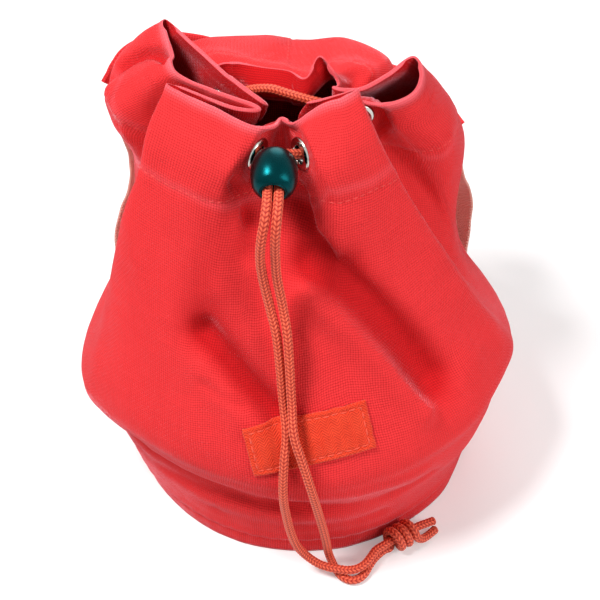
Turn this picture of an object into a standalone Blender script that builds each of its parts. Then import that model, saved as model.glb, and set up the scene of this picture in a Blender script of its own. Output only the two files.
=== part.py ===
"""Small drawstring rucksack of cotton canvas, standing slumped with its neck drawn shut.

The bag stands on z = 0 with its front towards -Y. The canvas wall is a lofted cloth shell whose
folds, pleats and bulge come from rings of control points; every other piece is placed on it.
"""
import math

import bmesh
import bpy
import numpy as np
from mathutils import Matrix, Vector
from mathutils.bvhtree import BVHTree

# Driving sizes, in metres.
BASE_RADIUS = 0.0872
BAG_HEIGHT = 0.2120
CANVAS = 0.0011
HEM_CANVAS = 0.0020
EYELET_OUTER = 0.0145
EYELET_BORE = 0.0076
EYELET_METAL = 0.0007
CORD = 0.0040
BEAD_WIDTH = 0.0180
BEAD_LENGTH = 0.0180
BEAD_BORE = 0.0092
PATCH_WIDTH = 0.0540
PATCH_HEIGHT = 0.0220
PATCH_THICK = 0.0012
STRAP_WIDTH = 0.0280
STRAP_THICK = 0.0026
WEBBING_WIDTH = 0.0200
WEBBING_THICK = 0.0014
BASE_THICK = 0.0016
GAP = 0.0003

KNOT_WRAPS = 2.75

# The knot: its centre on the straight end of the left strand, its axis and its own short tail.
KNOT_CENTRE = (46.6, -82.9, 6.75)
KNOT_AXIS = (0.85, 0.527, 0.0)
KNOT_LEAD = [(36.2, -89.6, 2.1), (38.7, -87.6, 2.1)]
KNOT_TAIL = [(56.8, -82.4, 3.4), (60.3, -79.4, 2.1), (64.5, -75.6, 2.1)]

# The control points below are drawn for this base radius and this height, in millimetres.
DRAWN_RADIUS = 87.2
DRAWN_HEIGHT = 212.0
SCALE = np.array([BASE_RADIUS / DRAWN_RADIUS, BASE_RADIUS / DRAWN_RADIUS, BAG_HEIGHT / DRAWN_HEIGHT])

# Control columns run anticlockwise from the groove between the two front eyelets. Each column
# follows one fold of the cloth from the mouth down to the base.
RIM = [
    (-9, -14, 197), (-4, -20, 200), (5, -16, 204), (10, -15, 206), (15, -14, 207), (21, -10, 209),
    (18, -2, 202), (2, -1, 196), (17, 4, 195), (30, 4, 191), (45, 9, 193), (50, 16, 199),
    (46, 22, 204), (35, 17, 199), (24, 14, 194), (14, 20, 190), (15, 26, 189), (7, 30, 199),
    (1, 27, 190), (-6, 35, 188), (-18, 38, 188), (-30, 41, 189), (-37, 36, 189), (-16, 5, 192),
    (-31, 12, 201), (-46, 26, 207), (-59, 38, 212), (-57, 22, 210), (-53, 7, 206), (-38, 2, 200),
    (-19, -4, 196), (-27, -10, 200), (-44, -8, 206), (-54, -8, 210), (-44, -14, 207),
    (-35, -18, 205), (-27, -21, 202), (-20, -23, 200), (-12, -22, 199),
]
EYELET_RING = [
    (-10, -8, 184), (-1, -23, 187), (7, -34, 188), (14, -31, 190), (21, -25, 192), (28, -18, 194),
    (24, -7, 190), (0, 2, 184), (24, 11, 182), (37, 7, 180), (50, 8, 181), (58, 17, 183),
    (58, 30, 187), (46, 32, 186), (33, 29, 182), (16, 22, 178), (21, 39, 180), (11, 35, 186),
    (0, 25, 180), (-7, 27, 180), (-18, 30, 180), (-30, 41, 180), (-39, 38, 178), (-21, 10, 180),
    (-38, 20, 188), (-54, 37, 194), (-72, 44, 200), (-71, 27, 199), (-66, 11, 196), (-46, 8, 187),
    (-24, 3, 183), (-31, -6, 186), (-50, -9, 192), (-62, -15, 195), (-52, -22, 193),
    (-42, -28, 191), (-34, -32, 189), (-27, -34, 188), (-19, -23, 187),
]
HEM_RING = [
    (-11, -18, 168), (0, -31, 171), (12, -38, 172), (21, -35, 172), (30, -29, 172), (40, -20, 171),
    (32, -9, 169), (17, 3, 167), (36, 12, 165), (50, 8, 164), (61, 10, 165), (68, 20, 166),
    (69, 35, 168), (58, 42, 171), (43, 38, 171), (27, 31, 169), (32, 50, 180), (17, 54, 183),
    (1, 50, 181), (-9, 54, 184), (-22, 55, 184), (-42, 59, 184), (-50, 53, 178), (-35, 26, 168),
    (-54, 37, 174), (-69, 48, 179), (-83, 49, 182), (-87, 29, 180), (-80, 11, 178), (-58, 8, 171),
    (-40, 2, 169), (-47, -6, 171), (-60, -12, 175), (-68, -19, 176), (-58, -27, 174),
    (-48, -33, 173), (-39, -37, 172), (-31, -38, 172), (-21, -31, 170),
]
SHOULDER_RING = [
    (-12, -40, 147), (0, -45, 147), (13, -48, 147), (26, -44, 147), (40, -34, 146), (55, -22, 145),
    (46, -10, 143), (41, 2, 142), (54, 11, 141), (62, 11, 141), (69, 17, 140), (74, 29, 141),
    (76, 44, 142), (69, 58, 146), (58, 64, 152), (47, 66, 162), (40, 74, 169), (21, 85, 173),
    (3, 87, 172), (-9, 89, 173), (-23, 89, 172), (-50, 82, 173), (-61, 74, 167), (-60, 64, 158),
    (-68, 61, 152), (-75, 51, 149), (-79, 39, 149), (-78, 27, 150), (-74, 15, 150), (-67, 8, 149),
    (-60, 2, 148), (-63, -5, 148), (-72, -12, 148), (-78, -21, 149), (-69, -31, 148),
    (-57, -39, 147), (-46, -45, 147), (-34, -48, 147), (-23, -45, 147),
]
WAIST_RING = [
    (-12, -68, 106), (2, -70, 106), (18, -70, 106), (38, -63, 106), (59, -46, 106), (78, -24, 106),
    (74, -12, 104), (72, -2, 103), (75, 8, 102), (76, 17, 102), (76, 26, 102), (76, 38, 102),
    (74, 50, 103), (68, 61, 104), (58, 71, 106), (46, 79, 108), (33, 85, 112), (19, 89, 116),
    (5, 91, 117), (-8, 92, 117), (-22, 90, 116), (-36, 86, 114), (-50, 79, 110), (-61, 70, 107),
    (-71, 59, 105), (-78, 48, 104), (-82, 37, 104), (-84, 26, 104), (-85, 16, 104), (-84, 7, 104),
    (-83, 0, 104), (-85, -7, 104), (-88, -14, 105), (-89, -25, 106), (-81, -39, 106),
    (-69, -51, 106), (-56, -60, 106), (-42, -66, 106), (-26, -69, 106),
]
# Angle of each column round the bag below the waist, in degrees anticlockwise from +X.
COLUMN_ANGLES = [
    265, 274, 286, 303, 323, 346, 355, 362, 369, 376, 384, 392, 401, 410, 418, 426, 434, 441, 448,
    455, 463, 472, 481, 490, 499, 508, 517, 525, 532, 538, 544, 550, 556, 563, 575, 587, 599, 610,
    618,
]
# Lower rings: height, then the radius at chosen angles, all in millimetres and degrees.
LOWER_RINGS = [
    (72, {0: 99, 30: 94, 60: 92, 90: 92, 120: 93, 150: 98, 180: 103, 200: 106, 219: 101, 231: 98,
          249: 95, 270: 93, 290: 94, 315: 96, 345: 101}),
    (57, {0: 98, 30: 93, 60: 91, 90: 91, 120: 92, 150: 98, 180: 106, 200: 109, 219: 100, 231: 96,
          249: 95, 270: 96, 290: 96, 315: 96, 345: 98}),
    (43, {0: 95, 30: 91, 60: 90, 90: 90, 120: 91, 150: 95, 180: 102, 200: 100, 215: 91, 231: 88,
          249: 88, 270: 89, 290: 92, 315: 95, 345: 97}),
    (31, {0: 92, 30: 89, 60: 89, 90: 89, 120: 90, 150: 92, 180: 96, 200: 96, 219: 92, 231: 90,
          249: 90, 270: 90, 290: 90, 315: 91, 345: 93}),
    (14, {0: 88, 60: 88, 120: 88, 160: 90, 180: 91, 200: 91, 225: 89, 260: 88, 300: 88, 345: 88}),
    (0.3, {0: 87.2, 90: 87.2, 180: 87.2, 270: 87.2}),
]
# Soft folds pressed into the cloth: depth, half width, then the line that the fold follows.
SOFT_FOLDS = [
    (2.0, 5.0, [(-20, -31, 167), (-22, -42, 152)]),
    (2.6, 9.0, [(-26, -35, 173), (-33, -42, 155), (-41, -49, 137), (-44, -56, 120)]),
    (3.0, 10.0, [(-40, -57, 120), (-27, -68, 108), (-14, -77, 96), (-2, -83, 86)]),
    (2.6, 7.0, [(-4, -27, 167), (-2, -39, 155), (3, -48, 141)]),
    (3.2, 11.0, [(3, -48, 141), (15, -53, 134), (32, -59, 114), (55, -65, 85)]),
    (-1.8, 9.0, [(30, -48, 140), (52, -46, 116), (74, -46, 88)]),
    (-1.6, 8.0, [(-18, -60, 118), (-12, -76, 96), (4, -86, 84)]),
    (2.4, 4.5, [(-84, 32, 187), (-80, 32, 192), (-72, 30, 199), (-65, 25, 204), (-59, 18, 207)]),
    (1.8, 3.6, [(-80, -46, 27), (-66, -62, 31), (-40, -81, 36), (0, -90, 38)]),
    (2.2, 9.0, [(60, 58, 150), (76, 36, 128), (82, 24, 100)]),
    (2.0, 7.0, [(-9, 56, 185), (-8, 80, 180), (-6, 92, 150)]),
]
SAMPLES_PER_COLUMN = 3
EYELET_SIDES = 12
CLOTH_ROWS = [0, 0.35, 0.7, 1, 1.3, 1.65, 2, 2.04, 2.5, 3, 3.6, 4.2, 4.8, 5.4, 6.1, 7, 8, 9, 10]

# Eyelets in the order that the cord threads them: column and ring of the centre, and the first
# and last column of the cloth that the flange holds flat.
EYELET_SEATS = [
    ("front_left", 38.0, 1.0, 37.4, 38.6), ("left_front", 31.5, 1.0, 30.3, 32.8),
    ("left_side", 28.7, 1.0, 27.3, 29.7), ("left_rear", 23.8, 1.0, 23.3, 25.0),
    ("rear_left", 22.36, 1.0, 22.0, 22.8), ("right_side", 7.95, 1.0, 7.4, 9.0),
    ("right_front", 6.4, 1.0, 6.0, 6.8), ("front_right", 1.0, 1.0, 0.4, 2.0),
]
FLAT_RADIUS = EYELET_OUTER / 2 + 0.0035
FLAT_FADE = 0.0055

# The cord lock: its centre, and the way that its bore points, forwards and a little down.
BEAD_CENTRE = (-11.7, -36.8, 187.5)
BEAD_AXIS = (-0.03, -0.975, -0.22)

# The sewn patch: its centre on the front, the way across it and the way down it.
PATCH_CENTRE = (2.4, -85.3, 83.0)
PATCH_ACROSS = (52, 5.5, 11)
PATCH_DOWN = (2, -10.5, -19)

# Shoulder straps behind the bag, from the top of the back down to the sides of the base.
STRAP_LEFT = [(-14, 92, 140), (-38, 98, 149), (-62, 97, 157), (-82, 91, 157), (-91, 85, 147)]
WEBBING_LEFT = [
    (-86, 84, 128), (-84, 90, 108), (-86, 89, 86), (-95, 84, 64), (-97, 80, 46), (-90, 71, 30),
    (-74, 62, 14),
]
STRAP_RIGHT = [(14, 92, 140), (36, 98, 141), (58, 94, 134), (75, 85, 120)]
WEBBING_RIGHT = [(75, 79, 106), (83, 84, 84), (84, 80, 68), (82, 70, 46), (78, 62, 30), (72, 56, 14)]

# Routes of the cord, in millimetres: the loop inside the neck, and its two free strands.
NECK_ROUTE = [
    (-22.6, -20.9, 187.4), (-27.5, -18.1, 187.9), (-34.5, -16.3, 188.4), (-39.2, -13, 188.8),
    (-40.2, -7.7, 189), (-41, -3, 189.3), (-44.5, -0.2, 189.5), (-49.2, 1, 189.4),
    (-52, 4, 189.2), (-52.6, 8.6, 189.5), (-53, 13, 190), (-50.6, 17, 189.8), (-45.5, 16, 188.8),
    (-41, 12.9, 187.6), (-37.5, 12.8, 186.5), (-34.1, 16.9, 186.4), (-32, 19.8, 186.7),
    (-33.4, 22.4, 184.2), (-36, 23.8, 181.2), (-36.2, 25.4, 179), (-33, 28.1, 178.2),
    (-29.4, 30.6, 178.2), (-24.6, 29.4, 182.6), (-15, 25, 186.3), (-8, 22.2, 186),
    (-1.6, 20, 185.2), (9, 16.6, 184.2), (17, 15.4, 183), (23, 16, 182.4),
    (24, 11, 182), (23.4, 6.4, 182.8),
    (19, 3.9, 185.2), (14.9, 1.2, 187.5), (13.5, -3.3, 187.6), (12.3, -7.8, 187.3),
    (10.4, -14, 187), (6.4, -19, 186.7), (2.6, -21.1, 186.8),
]
LEFT_ROUTE = [
    (-22.6, -20.9, 187.4), (-19, -23, 187.1), (-16.2, -24.5, 188.1), (-14.3, -26.3, 189.3),
    (-13.7, -28.6, 189.4), (-14.2, -45.6, 185.5), (-14.4, -51.8, 184.1), (-15.2, -57, 180),
    (-16.6, -59, 172.5), (-17.3, -58.6, 163), (-16.5, -58.5, 152), (-13.7, -61, 137),
    (-11, -67, 125), (-8.7, -77.3, 98.6), (-7.4, -86.6, 88.4), (-8.4, -94.5, 78),
    (-8.9, -99, 62), (-7.6, -98.3, 45), (-5.8, -97.8, 32), (-3.3, -97.3, 21), (0.8, -97, 12.5),
    (6.3, -98.2, 7.4), (11, -99.8, 6.6), (16.1, -101, 6.6), (20.8, -101.5, 6.4),
    (25.2, -100.6, 6.4), (28.8, -98.2, 6.4), (31.6, -94.5, 6.4), (34.2, -90.8, 6.5),
    (38.2, -88.1, 6.75), (46.6, -82.9, 6.75), (54.5, -78, 6.75), (64, -71.8, 5.6),
]
RIGHT_ROUTE = [
    (2.6, -21.1, 186.8), (-1, -23, 187.1), (-5.2, -24.6, 188.2), (-8.3, -26.3, 189.3),
    (-9.2, -28.6, 189.4), (-9.8, -45.6, 185.5), (-10, -51.8, 184.1), (-10.6, -57, 180),
    (-11.2, -59.2, 172.5), (-11.3, -58.8, 163), (-10.8, -58.8, 152), (-8.6, -61, 138),
    (-6.6, -68.2, 126), (-5.2, -79, 100.5), (-4.2, -89, 90), (-0.3, -95, 78), (4, -99, 61.5),
    (8.2, -97, 36.5), (10, -95.5, 24), (11, -93.5, 14), (11.8, -93.2, 8), (13.2, -94.5, 3.8),
    (14.9, -97.6, 2.1), (17.3, -101.4, 2.1), (20.3, -103.5, 2.1), (23.2, -104.1, 2.1),
    (26.2, -103, 2.1), (28.7, -100.5, 2.1), (31, -96.4, 2.1), (33.4, -92.6, 2.1),
    (36.2, -89.6, 2.1),
]


def clear_scene():
    """Remove everything that the session started with."""
    for item in list(bpy.data.objects):
        bpy.data.objects.remove(item, do_unlink=True)


def make_material(name, colour, roughness, metallic=0.0):
    """Return a plain surface material."""
    material = bpy.data.materials.new(name)
    material.use_nodes = True
    shader = material.node_tree.nodes["Principled BSDF"]
    shader.inputs["Base Color"].default_value = (*colour, 1.0)
    shader.inputs["Roughness"].default_value = roughness
    shader.inputs["Metallic"].default_value = metallic
    return material


def add_object(name, mesh, material, smooth=True):
    """Put a finished mesh in the scene under its own name."""
    mesh.materials.clear()
    mesh.materials.append(material)
    for face in mesh.polygons:
        face.use_smooth = smooth
    item = bpy.data.objects.new(name, mesh)
    bpy.context.scene.collection.objects.link(item)
    return item


def mesh_from_bmesh(name, shape):
    """Turn a bmesh into a mesh with all faces looking out."""
    bmesh.ops.recalc_face_normals(shape, faces=shape.faces)
    mesh = bpy.data.meshes.new(name)
    shape.to_mesh(mesh)
    shape.free()
    return mesh


def catmull(a, b, c, d, t):
    """Blend four neighbouring control points at t between the middle two."""
    return 0.5 * (2 * b + (c - a) * t + (2 * a - 5 * b + 4 * c - d) * t * t
                  + (3 * b - a - 3 * c + d) * t ** 3)


def periodic(values, keys, at):
    """Read a closed curve of radius against angle at the angle given."""
    count = len(keys)
    at = at % 360
    index = max(i for i in range(count) if keys[i] <= at + 1e-9)
    start = keys[index]
    end = keys[(index + 1) % count] + (360 if index == count - 1 else 0)
    t = (at - start) / (end - start)
    p = [values[(index + k) % count] for k in (-1, 0, 1, 2)]
    return catmull(*p, t)


def control_net():
    """Return the rings of control points as one array, in metres."""
    rings = [RIM, EYELET_RING, HEM_RING, SHOULDER_RING, WAIST_RING]
    for height, radii in LOWER_RINGS:
        keys = sorted(radii)
        values = [radii[k] for k in keys]
        ring = []
        for angle in COLUMN_ANGLES:
            r = periodic(values, keys, angle)
            turn = math.radians(angle)
            ring.append((r * math.cos(turn), r * math.sin(turn), height))
        rings.append(ring)
    return np.array(rings, dtype=float) * SCALE


def cloth_points(net, rows, columns):
    """Read the lofted surface at every row and column given."""
    count = net.shape[1]
    last = net.shape[0] - 1
    across = []
    for u in columns:
        i = int(math.floor(u)) % count
        t = u - math.floor(u)
        p = [net[:, (i + k) % count] for k in (-1, 0, 1, 2)]
        across.append(catmull(*p, t))
    across = np.stack(across, axis=1)
    result = []
    for v in rows:
        i = min(int(math.floor(v)), last - 1)
        t = v - i
        before = across[i - 1] if i > 0 else 2 * across[0] - across[1]
        after = across[i + 2] if i + 2 <= last else 2 * across[last] - across[last - 1]
        result.append(catmull(before, across[i], across[i + 1], after, t))
    return np.stack(result)


def cloth_normals(points):
    """Return the outward normals of a grid that is closed across its columns."""
    along = np.gradient(points, axis=0)
    across = np.roll(points, -1, axis=1) - np.roll(points, 1, axis=1)
    normals = np.cross(along, across)
    return normals / np.linalg.norm(normals, axis=2, keepdims=True)


def distance_to_line(points, line):
    """Return the distance from each point to a line of straight stretches."""
    best = np.full(points.shape[:-1], 1e9)
    for a, b in zip(line[:-1], line[1:]):
        step = b - a
        t = np.clip(((points - a) @ step) / (step @ step), 0, 1)
        near = a + t[..., None] * step
        best = np.minimum(best, np.linalg.norm(points - near, axis=-1))
    return best


def press_folds(points, normals):
    """Push the soft folds into the cloth, or out of it where the depth is negative."""
    scale = float(SCALE[0])
    moved = points.copy()
    for depth, width, line in SOFT_FOLDS:
        track = np.array(line, dtype=float) * SCALE
        fade = np.exp(-(distance_to_line(points, track) / (width * scale)) ** 2)
        moved = moved - normals * (depth * scale * fade)[..., None]
    return moved


def eyelet_frames(net):
    """Return the centre and outward normal of every eyelet seat."""
    frames = []
    for name, column, ring, _, _ in EYELET_SEATS:
        rows = [ring - 0.3, ring, ring + 0.3]
        columns = [column - 0.3, column, column + 0.3]
        points = cloth_points(net, rows, columns)
        normal = np.cross(points[2, 1] - points[0, 1], points[1, 2] - points[1, 0])
        frames.append((name, points[1, 1], normal / np.linalg.norm(normal)))
    return frames


def flatten_at_eyelets(points, rows, columns, frames):
    """Hold the cloth flat under each eyelet flange and let it curve away beyond."""
    moved = points.copy()
    for (_, _, ring, first, last), (_, centre, normal) in zip(EYELET_SEATS, frames):
        beside = np.clip(1 - np.maximum(first - columns, columns - last) / 0.3, 0, 1)
        below = np.clip((1.05 - np.abs(np.array(rows) - ring)) / 0.3, 0, 1)
        offset = moved - centre
        height = offset @ normal
        flat = offset - height[..., None] * normal
        reach = np.linalg.norm(flat, axis=-1)
        fade = np.clip((FLAT_RADIUS + FLAT_FADE - reach) / FLAT_FADE, 0, 1)
        fade = fade * fade * (3 - 2 * fade)
        share = fade * below[:, None] * beside[None, :]
        moved = moved - (share * height)[..., None] * normal
    return moved


def outer_face(net, frames, rows, columns):
    """Return the outer face of the finished wall at every row and column given."""
    points = cloth_points(net, rows, columns)
    points = press_folds(points, cloth_normals(points))
    return flatten_at_eyelets(points, rows, columns, frames)


def face_normals(net, frames, rows, columns):
    """Return the outward normals of the finished outer face."""
    step = 0.04
    upper = outer_face(net, frames, np.maximum(rows - step, 0), columns)
    lower = outer_face(net, frames, np.minimum(rows + step, len(net) - 1), columns)
    before = outer_face(net, frames, rows, columns - step)
    after = outer_face(net, frames, rows, columns + step)
    normals = np.cross(lower - upper, after - before)
    return normals / np.linalg.norm(normals, axis=2, keepdims=True)


def room_inside(points, normals, limit):
    """Return how thick the wall may be at each point before it meets itself inside a fold."""
    rows, count = points.shape[:2]
    corners = [tuple(p) for p in points.reshape(-1, 3)]
    faces = []
    for i in range(rows - 1):
        for j in range(count):
            k = (j + 1) % count
            faces.append((i * count + j, i * count + k, (i + 1) * count + k, (i + 1) * count + j))
    tree = BVHTree.FromPolygons(corners, faces)
    room = np.full((rows, count), limit)
    for i in range(rows):
        for j in range(count):
            inward = -Vector(normals[i, j])
            start = Vector(points[i, j]) + inward * 0.0002
            hit = tree.ray_cast(start, inward, 6 * limit)
            if hit[0] is not None:
                room[i, j] = min(limit, 0.3 * (hit[3] + 0.0002))
    before = np.roll(points, 1, axis=1)
    after = np.roll(points, -1, axis=1)
    sag = np.sum((2 * points - before - after) * normals, axis=2)
    span = np.sum((after - before) ** 2, axis=2) / 4
    room = np.where(sag > 1e-9, np.minimum(room, 0.5 * span / np.maximum(sag, 1e-9)), room)
    least = np.min([np.roll(room, k, axis=1) for k in (-2, -1, 0, 1, 2)], axis=0)
    least[1:-1] = np.minimum(least[1:-1], np.minimum(least[:-2], least[2:]))
    return np.maximum((least + np.roll(least, 1, axis=1) + np.roll(least, -1, axis=1)) / 3, 0.0003)


def skin_mesh(name, outer, inner):
    """Join an outer and an inner grid into one closed wall."""
    shape = bmesh.new()
    out_rows = [[shape.verts.new(p) for p in row] for row in outer]
    in_rows = [[shape.verts.new(p) for p in row] for row in inner]
    count = len(out_rows[0])

    def strip(first, second):
        for j in range(count):
            k = (j + 1) % count
            shape.faces.new((first[j], first[k], second[k], second[j]))

    for a, b in zip(out_rows[:-1], out_rows[1:]):
        strip(a, b)
    for a, b in zip(in_rows[:-1], in_rows[1:]):
        strip(b, a)
    strip(in_rows[0], out_rows[0])
    strip(out_rows[-1], in_rows[-1])
    return mesh_from_bmesh(name, shape)


def body_grids(net, frames):
    """Return the outer and the inner grid of the canvas wall."""
    rows = np.array(CLOTH_ROWS, dtype=float)
    columns = np.arange(0, net.shape[1], 1.0 / SAMPLES_PER_COLUMN)
    outer = outer_face(net, frames, rows, columns)
    normals = face_normals(net, frames, rows, columns)
    normals = normals + np.roll(normals, 1, axis=1) + np.roll(normals, -1, axis=1)
    normals[-1, :, 2] = 0
    normals /= np.linalg.norm(normals, axis=2, keepdims=True)
    room = room_inside(outer, normals, HEM_CANVAS)
    thickness = np.where(rows[:, None] <= 2.0, HEM_CANVAS, CANVAS)
    inner = outer - normals * np.minimum(room, thickness)[..., None]
    return outer, inner


def build_body(net, frames, material):
    """Loft the canvas wall, cut the eyelet holes through its hem and return its inner edge."""
    outer, inner = body_grids(net, frames)
    body = add_object("body_canvas", skin_mesh("body_canvas", outer, inner), material)
    for name, centre, normal in frames:
        hole = add_cylinder("hole_" + name, EYELET_BORE / 2 + EYELET_METAL + GAP, 0.012,
                            EYELET_SIDES)
        hole.matrix_world = seat_matrix(centre - normal * HEM_CANVAS / 2, normal)
        hole.hide_render = True
        hole.display_type = "WIRE"
        cut = body.modifiers.new("hole_" + name, "BOOLEAN")
        cut.operation = "DIFFERENCE"
        cut.solver = "EXACT"
        cut.object = hole
    return inner[-1]


def seat_matrix(centre, normal):
    """Return the placement whose local Z points along the normal."""
    turn = Vector(normal).to_track_quat("Z", "Y")
    return Matrix.Translation(Vector(centre)) @ turn.to_matrix().to_4x4()


def add_cylinder(name, radius, depth, segments):
    """Add a plain cylinder centred on its origin."""
    shape = bmesh.new()
    bmesh.ops.create_cone(shape, cap_ends=True, segments=segments, radius1=radius, radius2=radius,
                          depth=depth)
    mesh = mesh_from_bmesh(name, shape)
    item = bpy.data.objects.new(name, mesh)
    bpy.context.scene.collection.objects.link(item)
    return item


def turned_mesh(name, profile, segments, closed):
    """Turn a profile of radius and height about Z."""
    shape = bmesh.new()
    rings = []
    for radius, height in profile:
        ring = []
        for k in range(segments):
            angle = 2 * math.pi * k / segments
            ring.append(shape.verts.new((radius * math.cos(angle), radius * math.sin(angle), height)))
        rings.append(ring)
    pairs = list(zip(rings[:-1], rings[1:]))
    if closed:
        pairs.append((rings[-1], rings[0]))
    for a, b in pairs:
        for k in range(segments):
            n = (k + 1) % segments
            shape.faces.new((a[k], a[n], b[n], b[k]))
    if not closed:
        shape.faces.new(rings[0])
        shape.faces.new(rings[-1])
    return mesh_from_bmesh(name, shape)


def build_eyelets(frames, material):
    """Each eyelet is a rolled flange with its barrel outside, and a flat washer inside."""
    bore = EYELET_BORE / 2
    rim = EYELET_OUTER / 2
    barrel = bore + EYELET_METAL
    crown = 2.2 * EYELET_METAL
    deep = HEM_CANVAS + GAP
    flange = [
        (bore, -deep - EYELET_METAL), (bore, crown * 0.75), (bore * 0.62 + rim * 0.38, crown + GAP),
        (rim * 0.92, crown * 0.8 + GAP), (rim, GAP + 0.0001), (barrel, GAP), (barrel, -deep - EYELET_METAL),
    ]
    washer = [
        (barrel + GAP, 0.0), (rim * 0.94, 0.0), (rim * 0.94, -EYELET_METAL), (barrel + GAP, -EYELET_METAL),
    ]
    for name, centre, normal in frames:
        shape = turned_mesh("eyelet_" + name, flange, EYELET_SIDES, True)
        front = add_object("eyelet_" + name, shape, material)
        front.matrix_world = seat_matrix(centre, normal)
        shape = turned_mesh("washer_" + name, washer, EYELET_SIDES, True)
        back = add_object("washer_" + name, shape, material)
        back.matrix_world = seat_matrix(centre - normal * deep, normal)


def smooth_line(route, steps=24):
    """Return closely spaced points of a smooth curve through the points of a route."""
    points = np.array(route, dtype=float)
    points = np.vstack([2 * points[0] - points[1], points, 2 * points[-1] - points[-2]])
    line = []
    for i in range(1, len(points) - 2):
        for k in range(steps):
            line.append(catmull(*points[i - 1:i + 3], k / steps))
    line.append(points[-2])
    return np.array(line)


def thin_out(line, longest, sharpest):
    """Keep the points at which a line has run on or turned by the amounts given."""
    kept = [0]
    way = line[1] - line[0]
    for i in range(1, len(line) - 1):
        ahead = line[i + 1] - line[i]
        turn = ahead @ way / (np.linalg.norm(ahead) * np.linalg.norm(way))
        far = np.linalg.norm(line[i] - line[kept[-1]])
        if far > longest or (math.degrees(math.acos(min(1, turn))) > sharpest and far > CORD / 2):
            kept.append(i)
            way = ahead
    return line[kept + [len(line) - 1]]


def add_cord(name, line, material):
    """Add a round cord along a line of points, with closed ends."""
    curve = bpy.data.curves.new(name, "CURVE")
    curve.dimensions = "3D"
    curve.bevel_depth = CORD / 2
    curve.bevel_resolution = 2
    curve.use_fill_caps = True
    spline = curve.splines.new("POLY")
    spline.points.add(len(line) - 1)
    for point, place in zip(spline.points, line):
        point.co = (*place, 1.0)
    curve.materials.append(material)
    item = bpy.data.objects.new(name, curve)
    bpy.context.scene.collection.objects.link(item)
    return item


def scaled_line(route):
    """Read a route at the size of the bag, and keep it clear of the surface below."""
    line = smooth_line(np.array(route, dtype=float) * SCALE)
    line[:, 2] = np.maximum(line[:, 2], CORD / 2 + 0.0001)
    return line


def away_from(line, end):
    """Leave out the first stretch of a line, which the next piece of the cord starts at."""
    return line[np.linalg.norm(line - end, axis=1) >= GAP]


def knot_line():
    """The turns that the right strand takes about the straight end of the left one."""
    centre = np.array(KNOT_CENTRE) * SCALE
    way = np.array(KNOT_AXIS) / np.linalg.norm(KNOT_AXIS)
    across = np.cross((0, 0, 1), way)
    radius = CORD + 2.2 * GAP
    pitch = CORD + GAP
    steps = round(KNOT_WRAPS * 8)
    coil = [np.array(p) * SCALE for p in KNOT_LEAD]
    for k in range(steps + 1):
        turn = 2 * math.pi * KNOT_WRAPS * k / steps
        along = pitch * KNOT_WRAPS * (k / steps - 0.5)
        aside = across * math.sin(turn) - np.array((0, 0, 1)) * math.cos(turn)
        coil.append(centre + way * along + aside * radius)
    coil += [np.array(p) * SCALE for p in KNOT_TAIL]
    return smooth_line(coil, 8)


def build_cords(material):
    """The drawstring: its loop through the eyelets, its two free strands and their knot."""
    neck = scaled_line(NECK_ROUTE)
    left = scaled_line(LEFT_ROUTE)
    right = scaled_line(RIGHT_ROUTE)
    knot = knot_line()
    neck_line = away_from(away_from(neck, left[0]), right[0])
    add_cord("drawstring_neck", thin_out(neck_line, 0.010, 30), material)
    add_cord("strand_left", thin_out(away_from(left, neck[0]), 0.010, 30), material)
    right_line = away_from(away_from(right, neck[-1]), knot[0])
    add_cord("strand_right", thin_out(right_line, 0.010, 30), material)
    add_cord("cord_knot", thin_out(away_from(knot, right[-1]), 0.010, 40), material)


def build_bead(material):
    """The barrel of the cord lock, turned about its own bore."""
    outer = BEAD_WIDTH / 2
    half = BEAD_LENGTH / 2
    bore = BEAD_BORE / 2
    profile = [
        (bore * 1.2, -half), (outer * 0.69, -half), (outer * 0.89, -half * 0.84),
        (outer * 0.975, -half * 0.5), (outer, 0.0), (outer * 0.975, half * 0.5),
        (outer * 0.89, half * 0.84), (outer * 0.69, half), (bore * 1.2, half),
        (bore, half * 0.78), (bore, -half * 0.78),
    ]
    bead = add_object("cord_lock_bead", turned_mesh("cord_lock_bead", profile, 24, True), material)
    bead.matrix_world = seat_matrix(np.array(BEAD_CENTRE) * SCALE, BEAD_AXIS)
    return bead


def outside_tree(net, frames):
    """Return a search tree of the facets of the outer face."""
    rows = np.array(CLOTH_ROWS, dtype=float)
    columns = np.arange(0, net.shape[1], 1.0 / SAMPLES_PER_COLUMN)
    outer = outer_face(net, frames, rows, columns)
    count = len(columns)
    faces = []
    for i in range(len(rows) - 1):
        for j in range(count):
            k = (j + 1) % count
            corner = (i * count + j, i * count + k, (i + 1) * count + k, (i + 1) * count + j)
            faces.append((corner[0], corner[1], corner[2]))
            faces.append((corner[0], corner[2], corner[3]))
    return BVHTree.FromPolygons([tuple(p) for p in outer.reshape(-1, 3)], faces)


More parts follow.
